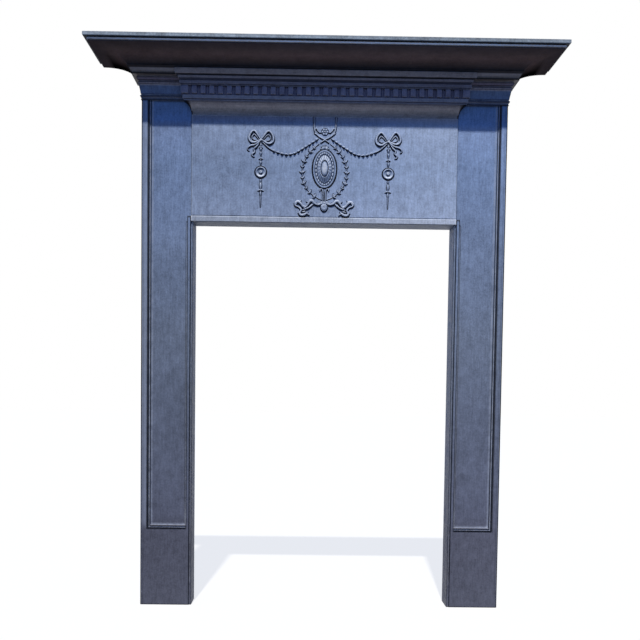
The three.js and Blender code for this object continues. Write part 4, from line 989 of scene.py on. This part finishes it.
def three_sided(section, cut_back, arris=1.2, flare_in=62.0):
    """A closed section carried round the left end, the front and the right end, mitred at the
    corners. Points are at base plus projection times the outward direction of each station, and
    over a mitre the direction turns in steps, to round its edge."""
    section = np.asarray(section, float)
    turn = np.linspace(0, np.pi / 2, 5)
    side_y = np.array([cut_back, 88.0, 86.0, FACE + flare_in])
    front_x = np.array([BODY_HALF - flare_in, 200.0, 0.0])
    left = [np.stack([np.full(4, -BODY_HALF), side_y, np.full(4, -1.0), np.zeros(4)], 1)]
    round_x, round_y = arris * (1 - np.sin(np.pi / 2 - turn)), arris * (1 - np.sin(turn))
    left.append(np.stack([-BODY_HALF + round_x, FACE + round_y, -np.ones(5), -np.ones(5)], 1))
    left.append(np.stack([-front_x, np.full(3, FACE), np.zeros(3), -np.ones(3)], 1))
    left = np.concatenate(left)
    right = left[::-1][1:] * [-1, 1, -1, 1]
    way = np.concatenate([left, right])
    p, z = section[None, :, 0], section[None, :, 1]
    x = way[:, 0:1] + p * way[:, 2:3]
    y = way[:, 1:2] + p * way[:, 3:4]
    return np.stack([x, y, np.broadcast_to(z, x.shape)], -1)


turn = np.linspace(0, np.pi / 2, 15)
cove = np.stack([28.6 + 74 * (1 - np.cos(turn)), BED_FOOT + 11.0 + 24.0 * np.sin(turn)], 1)
apron = np.array([(20.6, BED_FOOT), (22.0, BED_FOOT + 1.6), (24.2, BED_FOOT + 5.0),
                  (27.0, BED_FOOT + 8.0), (29.6, BED_FOOT + 9.4), (29.6, BED_FOOT + 10.4)])
turn = turn[::-1][2:-1]
hollow = np.stack([16.1 + 82 * (1 - np.cos(turn)), BED_FOOT + 4.5 + 34.0 * np.sin(turn)], 1)
lip = np.array([(102.6, BED_FOOT + 35.0), (102.9, BED_FOOT + 35.8), (101.9, BED_FOOT + 36.8),
                (102.6, BED_FOOT + 37.7), (104.2, BED_FOOT + 38.0), (104.2, BED_FOOT + 42.1),
                (103.2, BED_FOOT + 42.4), (100.8, BED_FOOT + 42.4), (100.8, 1296.0), (93, 1296.0),
                (93, 1292.5)])
foot = np.array([(16.1, BED_FOOT + 4.5), (-62, BED_FOOT + 4.5), (-62, BED_FOOT)])
section = np.concatenate([apron, cove[:-1], lip, hollow, foot])
rounding = np.concatenate([
    [0.1, 1.0, 1.0, 1.0, 0.4, 0.4], np.full(14, 1.2),
    [0.4, 0.3, 0.3, 0.3, 0.4, 0.4, 0.3, 0.2, 0.1, 0.6, 1.0], np.full(len(hollow), 1.0), [3, 0.6, 0.6]])
# Sides make it paler towards the right end, as painted light.
bed_finish = iron(
    "bed_mould_iron", [
        (1.253, (0.3, 0.27, 0.26)), (1.2583, (0.28, 0.25, 0.245)), (1.2597, (0.06, 0.055, 0.056)),
        (1.2643, (0.034, 0.031, 0.033)), (1.2715, (0.078, 0.06, 0.058)), (1.2763, (0.115, 0.083, 0.08)),
        (1.2815, (0.16, 0.112, 0.108)), (1.285, (0.14, 0.104, 0.1)), (1.2879, (0.094, 0.075, 0.078)),
        (1.2905, (0.05, 0.045, 0.055)), (1.2912, (0.86, 0.82, 0.8)), (1.2956, (0.86, 0.82, 0.8))],
    (0.085, 0.078, 0.078, 1), (0.003, 0.003, 0.003, 1), along=(0.12, 0.12, 1.0), offset=13.0,
    rough=(0.5, 0.68), mottling=0.10, streaks=0.08, grit=0.10, sides=(1.0, 1.0, 1.30, 1.42),
    metal=0.0, gloss=0.0)
casting = make("bed_mould_casting", [loft(three_sided(soften(section, rounding, 2, 0.4), 89.0))],
               ["bed_mould"], bed_finish)
# The coves of the two ends are painted darker than the front one, as shade.
darkened(casting, lambda at, old_wear_and_shade: np.minimum(
    old_wear_and_shade, 1.0 - 1.9 * np.clip((np.abs(at[:, 0]) - BODY_HALF - FACE + at[:, 1] - 0.5) / 6.0, 0.0, 1.0)
    * np.clip((BED_FOOT + 36.0 - at[:, 2]) / 3.0, 0.0, 1.0)))


# ---- Shelf --------------------------------------------------------------------------------------
# The mantel shelf is a thin plate with a thick rounded nosing on three sides, rough, with its edges
# made pale partly by rubbing and partly as painted highlight. Six pillars cast under it are
# drilled for the bolts that come up through the bed mould.
def turned(profile, radius_of=None, sides=24):
    """A body turned about an axis: radius and height pairs in a closed loop or between poles,
    on rays about the axis. The radius can change with the turn, to make a square or a thread."""
    profile = np.asarray(profile, float)
    turn = np.linspace(0, 2 * np.pi, sides, endpoint=False)[None, :]
    radius = profile[:, 0:1] + 0 * turn
    if radius_of is not None:
        radius = radius_of(radius, profile[:, 1:2], turn)
    return np.stack([radius * np.cos(turn), radius * np.sin(turn), profile[:, 1:2] + 0 * turn], -1)


SHELF_TOP = 1305.5
PLATE_UNDER = 1301.0
nose = np.array([(60, SHELF_TOP), (111.3, SHELF_TOP), (111.9, 1304.6), (112, 1301.2), (111.9, 1298.0),
                 (110.9, 1296.8), (108, 1296.3), (100, 1296.3), (100, PLATE_UNDER), (60, PLATE_UNDER)])
nose = soften(nose, [0, 0.7, 0.9, 1.6, 1.2, 0.8, 0.8, 0.6, 2.5, 0], 3, 0.6)
rim = loft(three_sided(nose, 89.0, 0.9, 0.0))
plate_x = np.array([-490.0, 490.0, 490.0, -490.0])
plate_y = np.array([-37.0, -37.0, 89.0, 89.0])
plate = loft(np.stack([np.stack([plate_x, plate_y, np.full(4, z)], -1)
                       for z in (PLATE_UNDER, SHELF_TOP)]))
pillar = turned(soften([(4.35, 1284.1), (4.35, 1258.1), (11, 1258.1), (11, 1297), (14, 1302.5),
                        (0.05, 1302.5), (0.05, 1284.1)], [0, 0.5, 1.0, 3, 0, 0, 0], 3))
points, faces = loft(pillar, closed_rows=True)
pillars = many(points, faces, [(x, 56.0, 0.0) for x in (-402.7, -340.7, -150, 150, 340.7, 402.7)])
# A painted shadow line runs along the foot of the nosing, with a painted highlight over it, and sides
# paint the right end darker.
shelf_finish = iron(
    "shelf_iron", [
        (1.258, (0.12, 0.12, 0.125)), (1.2964, (0.022, 0.026, 0.036)), (1.2968, (0.022, 0.026, 0.036)),
        (1.2973, (0.35, 0.42, 0.49)), (1.299, (0.28, 0.34, 0.4)), (1.302, (0.235, 0.28, 0.33)),
        (1.3055, (0.16, 0.19, 0.225))],
    (0.27, 0.31, 0.36, 1), (0.010, 0.010, 0.012, 1), along=(0.12, 1.0, 1.0), offset=17.0,
    rough=(0.45, 0.7), patches=0.20, mottling=0.30, grit=0.25, sides=(1.0, 1.0, 0.97, 0.82), grain=0.9)
make("shelf_casting", [rim, plate, pillars], ["mantel_shelf"], shelf_finish)


# ---- Bolts, nuts and washers --------------------------------------------------------------------
# Square-headed bolts with rolled threads hold the castings together at the back. They are plain
# steel, dull and lightly rusted, and each nut is a chamfered square.
HEAD_HALF = 6.5
SHANK = 4.0
THREADED = 4.001
THREAD_PITCH = 1.25
THREAD_DEPTH = 0.62


def squared(half, power=9.0):
    """Makes a round section square: the distance to a square with rounded corners on each ray."""
    def radius_of(radius, _, turn):
        """The radius times the square's distance, for points out at the flats."""
        square = (np.abs(np.cos(turn)) ** power + np.abs(np.sin(turn)) ** power) ** (-1 / power)
        return np.where(radius > half * 0.8, radius * square, radius)
    return radius_of


def bolt(length, head, thread_from):
    """A bolt along its axis, with its seat at zero: head below and shank above. The thread is a
    ridge that climbs one pitch a turn: its depth goes up and down with height less the turn."""
    crown = [(0.05, -head), (5.0, -head), (6.1, -head + 0.35), (HEAD_HALF, -head + 1.0),
             (HEAD_HALF, -0.4), (6.2, 0), (SHANK, 0.0), (SHANK, thread_from)]
    climb = np.linspace(thread_from + 0.2, length - 0.9, int((length - thread_from) / THREAD_PITCH * 5))
    shank = np.stack([np.full(len(climb), THREADED), climb], 1)
    tip = [(3.9, length - 0.7), (3.2, length), (0.05, length)]
    profile = np.vstack([crown, shank, tip])
    square = squared(HEAD_HALF)

    def radius_of(radius, height, turn):
        """The radius less a zigzag of the height and the turn on the thread, squared elsewhere."""
        wave = np.abs((((height / THREAD_PITCH - turn / (2 * np.pi)) % 1.0) - 0.5) * 2)
        threaded = radius - THREAD_DEPTH * wave
        return np.where(np.abs(radius - THREADED) < 1e-4, threaded, square(radius, height, turn))
    return turned(profile, radius_of, 24)


def nut(thickness):
    """A square nut with its corners chamfered on both faces, its seat at zero."""
    profile = [(4.05, thickness), (4.05, 0.0), (5.8, 0.0), (HEAD_HALF, 0.7),
               (HEAD_HALF, thickness - 0.9), (5.8, thickness)]
    return turned(soften(profile, [0.4, 0.4, 0.3, 0.4, 0.4, 0.3], 2, 0.3), squared(HEAD_HALF), 32)


def washer():
    """A flat round washer with rounded rims."""
    return turned(soften([(4.6, 2.0), (4.6, 0.0), (10.0, 0.0), (10.0, 2.0)], 0.5, 2, 0.3), None, 32)


def fasten(name, node, shape, axis, seat, closed=False):
    """Puts one fastener in: its body, made along +z from its seat, is turned to point along the
    axis, and its seat is set in place. It stands for its CAD node."""
    points, faces = loft(shape, closed_rows=closed)
    along, beside = np.array(axis, float), np.array([0.0, 1.0, 0.0])
    third = np.cross(beside, along)
    points = points @ np.stack([beside, third, along]) + np.array(seat, float)
    make(name, [(points, faces)], [node], steel)


steel = bpy.data.materials.new("fastener_steel")
steel.use_nodes = True
tree = steel.node_tree
tree.nodes.clear()
place = add(tree, "ShaderNodeTexCoord").outputs["Object"]
spots = noise(tree, place, 190.0, 5.0, 0.65)
fleck = noise(tree, place, 900.0, 3.0, 0.6, offset=2.0)
flecked = ramp(tree, fleck, 0.35, 0.65)
colour = blend(tree, flecked, (0.055, 0.052, 0.052, 1), (0.16, 0.155, 0.15, 1))
rust = ramp(tree, spots, 0.46, 0.60)
brown = blend(tree, flecked, (0.085, 0.03, 0.014, 1), (0.22, 0.09, 0.038, 1))
colour = blend(tree, rust, colour, brown)
# Edges are made pale, partly by rubbing and partly as painted highlight, and hollows dark, partly dirt
# and partly painted shade.
wear_and_shade = add(tree, "ShaderNodeAttribute", attribute_name="wear_and_shade").outputs["Fac"]
rub_and_glint = calc(tree, "MULTIPLY", ramp(tree, wear_and_shade, 0.2, 0.9), 0.6)
colour = blend(tree, rub_and_glint, colour, (0.34, 0.33, 0.32, 1))
colour = blend(tree, ramp(tree, wear_and_shade, -0.15, -0.8), colour, (0.01, 0.008, 0.007, 1))
pitted = add(tree, "ShaderNodeBump", {"Strength": 0.5, "Distance": 0.0005, "Height": fleck})
skin = add(tree, "ShaderNodeBsdfPrincipled", {
    "Base Color": colour, "Metallic": 0.55, "Roughness": ramp(tree, rust, 0.0, 1.0, 0.42, 0.82),
    "Normal": pitted.outputs[0]})
add(tree, "ShaderNodeOutputMaterial", {"Surface": skin.outputs[0]})

for side, word in ((-1, "left"), (1, "right")):
    for level_word, z in (("lower", 984.0), ("upper", 1104.0)):
        here = f"{word}_{level_word}"
        fasten(f"{here}_joint_bolt", f"{here}_frieze_bolt", bolt(22.4, 5.5, 8.0), (side, 0, 0),
               (side * 308.3, 51, z))
        fasten(f"{here}_joint_nut", f"{here}_frieze_nut", nut(6.5), (side, 0, 0),
               (side * 321.2, 51, z), closed=True)
    for place_word, x in (("outer", 402.7), ("inner", 340.7), ("cornice", 150.0)):
        here = f"{word}_{place_word}"
        fasten(f"{here}_pillar_bolt", f"{here}_shelf_bolt", bolt(34.2, 5.5, 12.0), (0, 0, 1),
               (side * x, 56, 1245.9))
        fasten(f"{here}_pillar_washer", f"{here}_shelf_washer", washer(), (0, 0, 1),
               (side * x, 56, 1246.2), closed=True)
for word, x in (("left", -210.0), ("middle", 0.0), ("right", 210.0)):
    fasten(f"{word}_foot_bolt", f"{word}_cornice_bolt", bolt(19.4, 5.5, 7.0), (0, 0, 1),
           (x, 51, 1156.2))
    fasten(f"{word}_foot_nut", f"{word}_cornice_nut", nut(6.5), (0, 0, 1),
           (x, 51, 1166.1), closed=True)
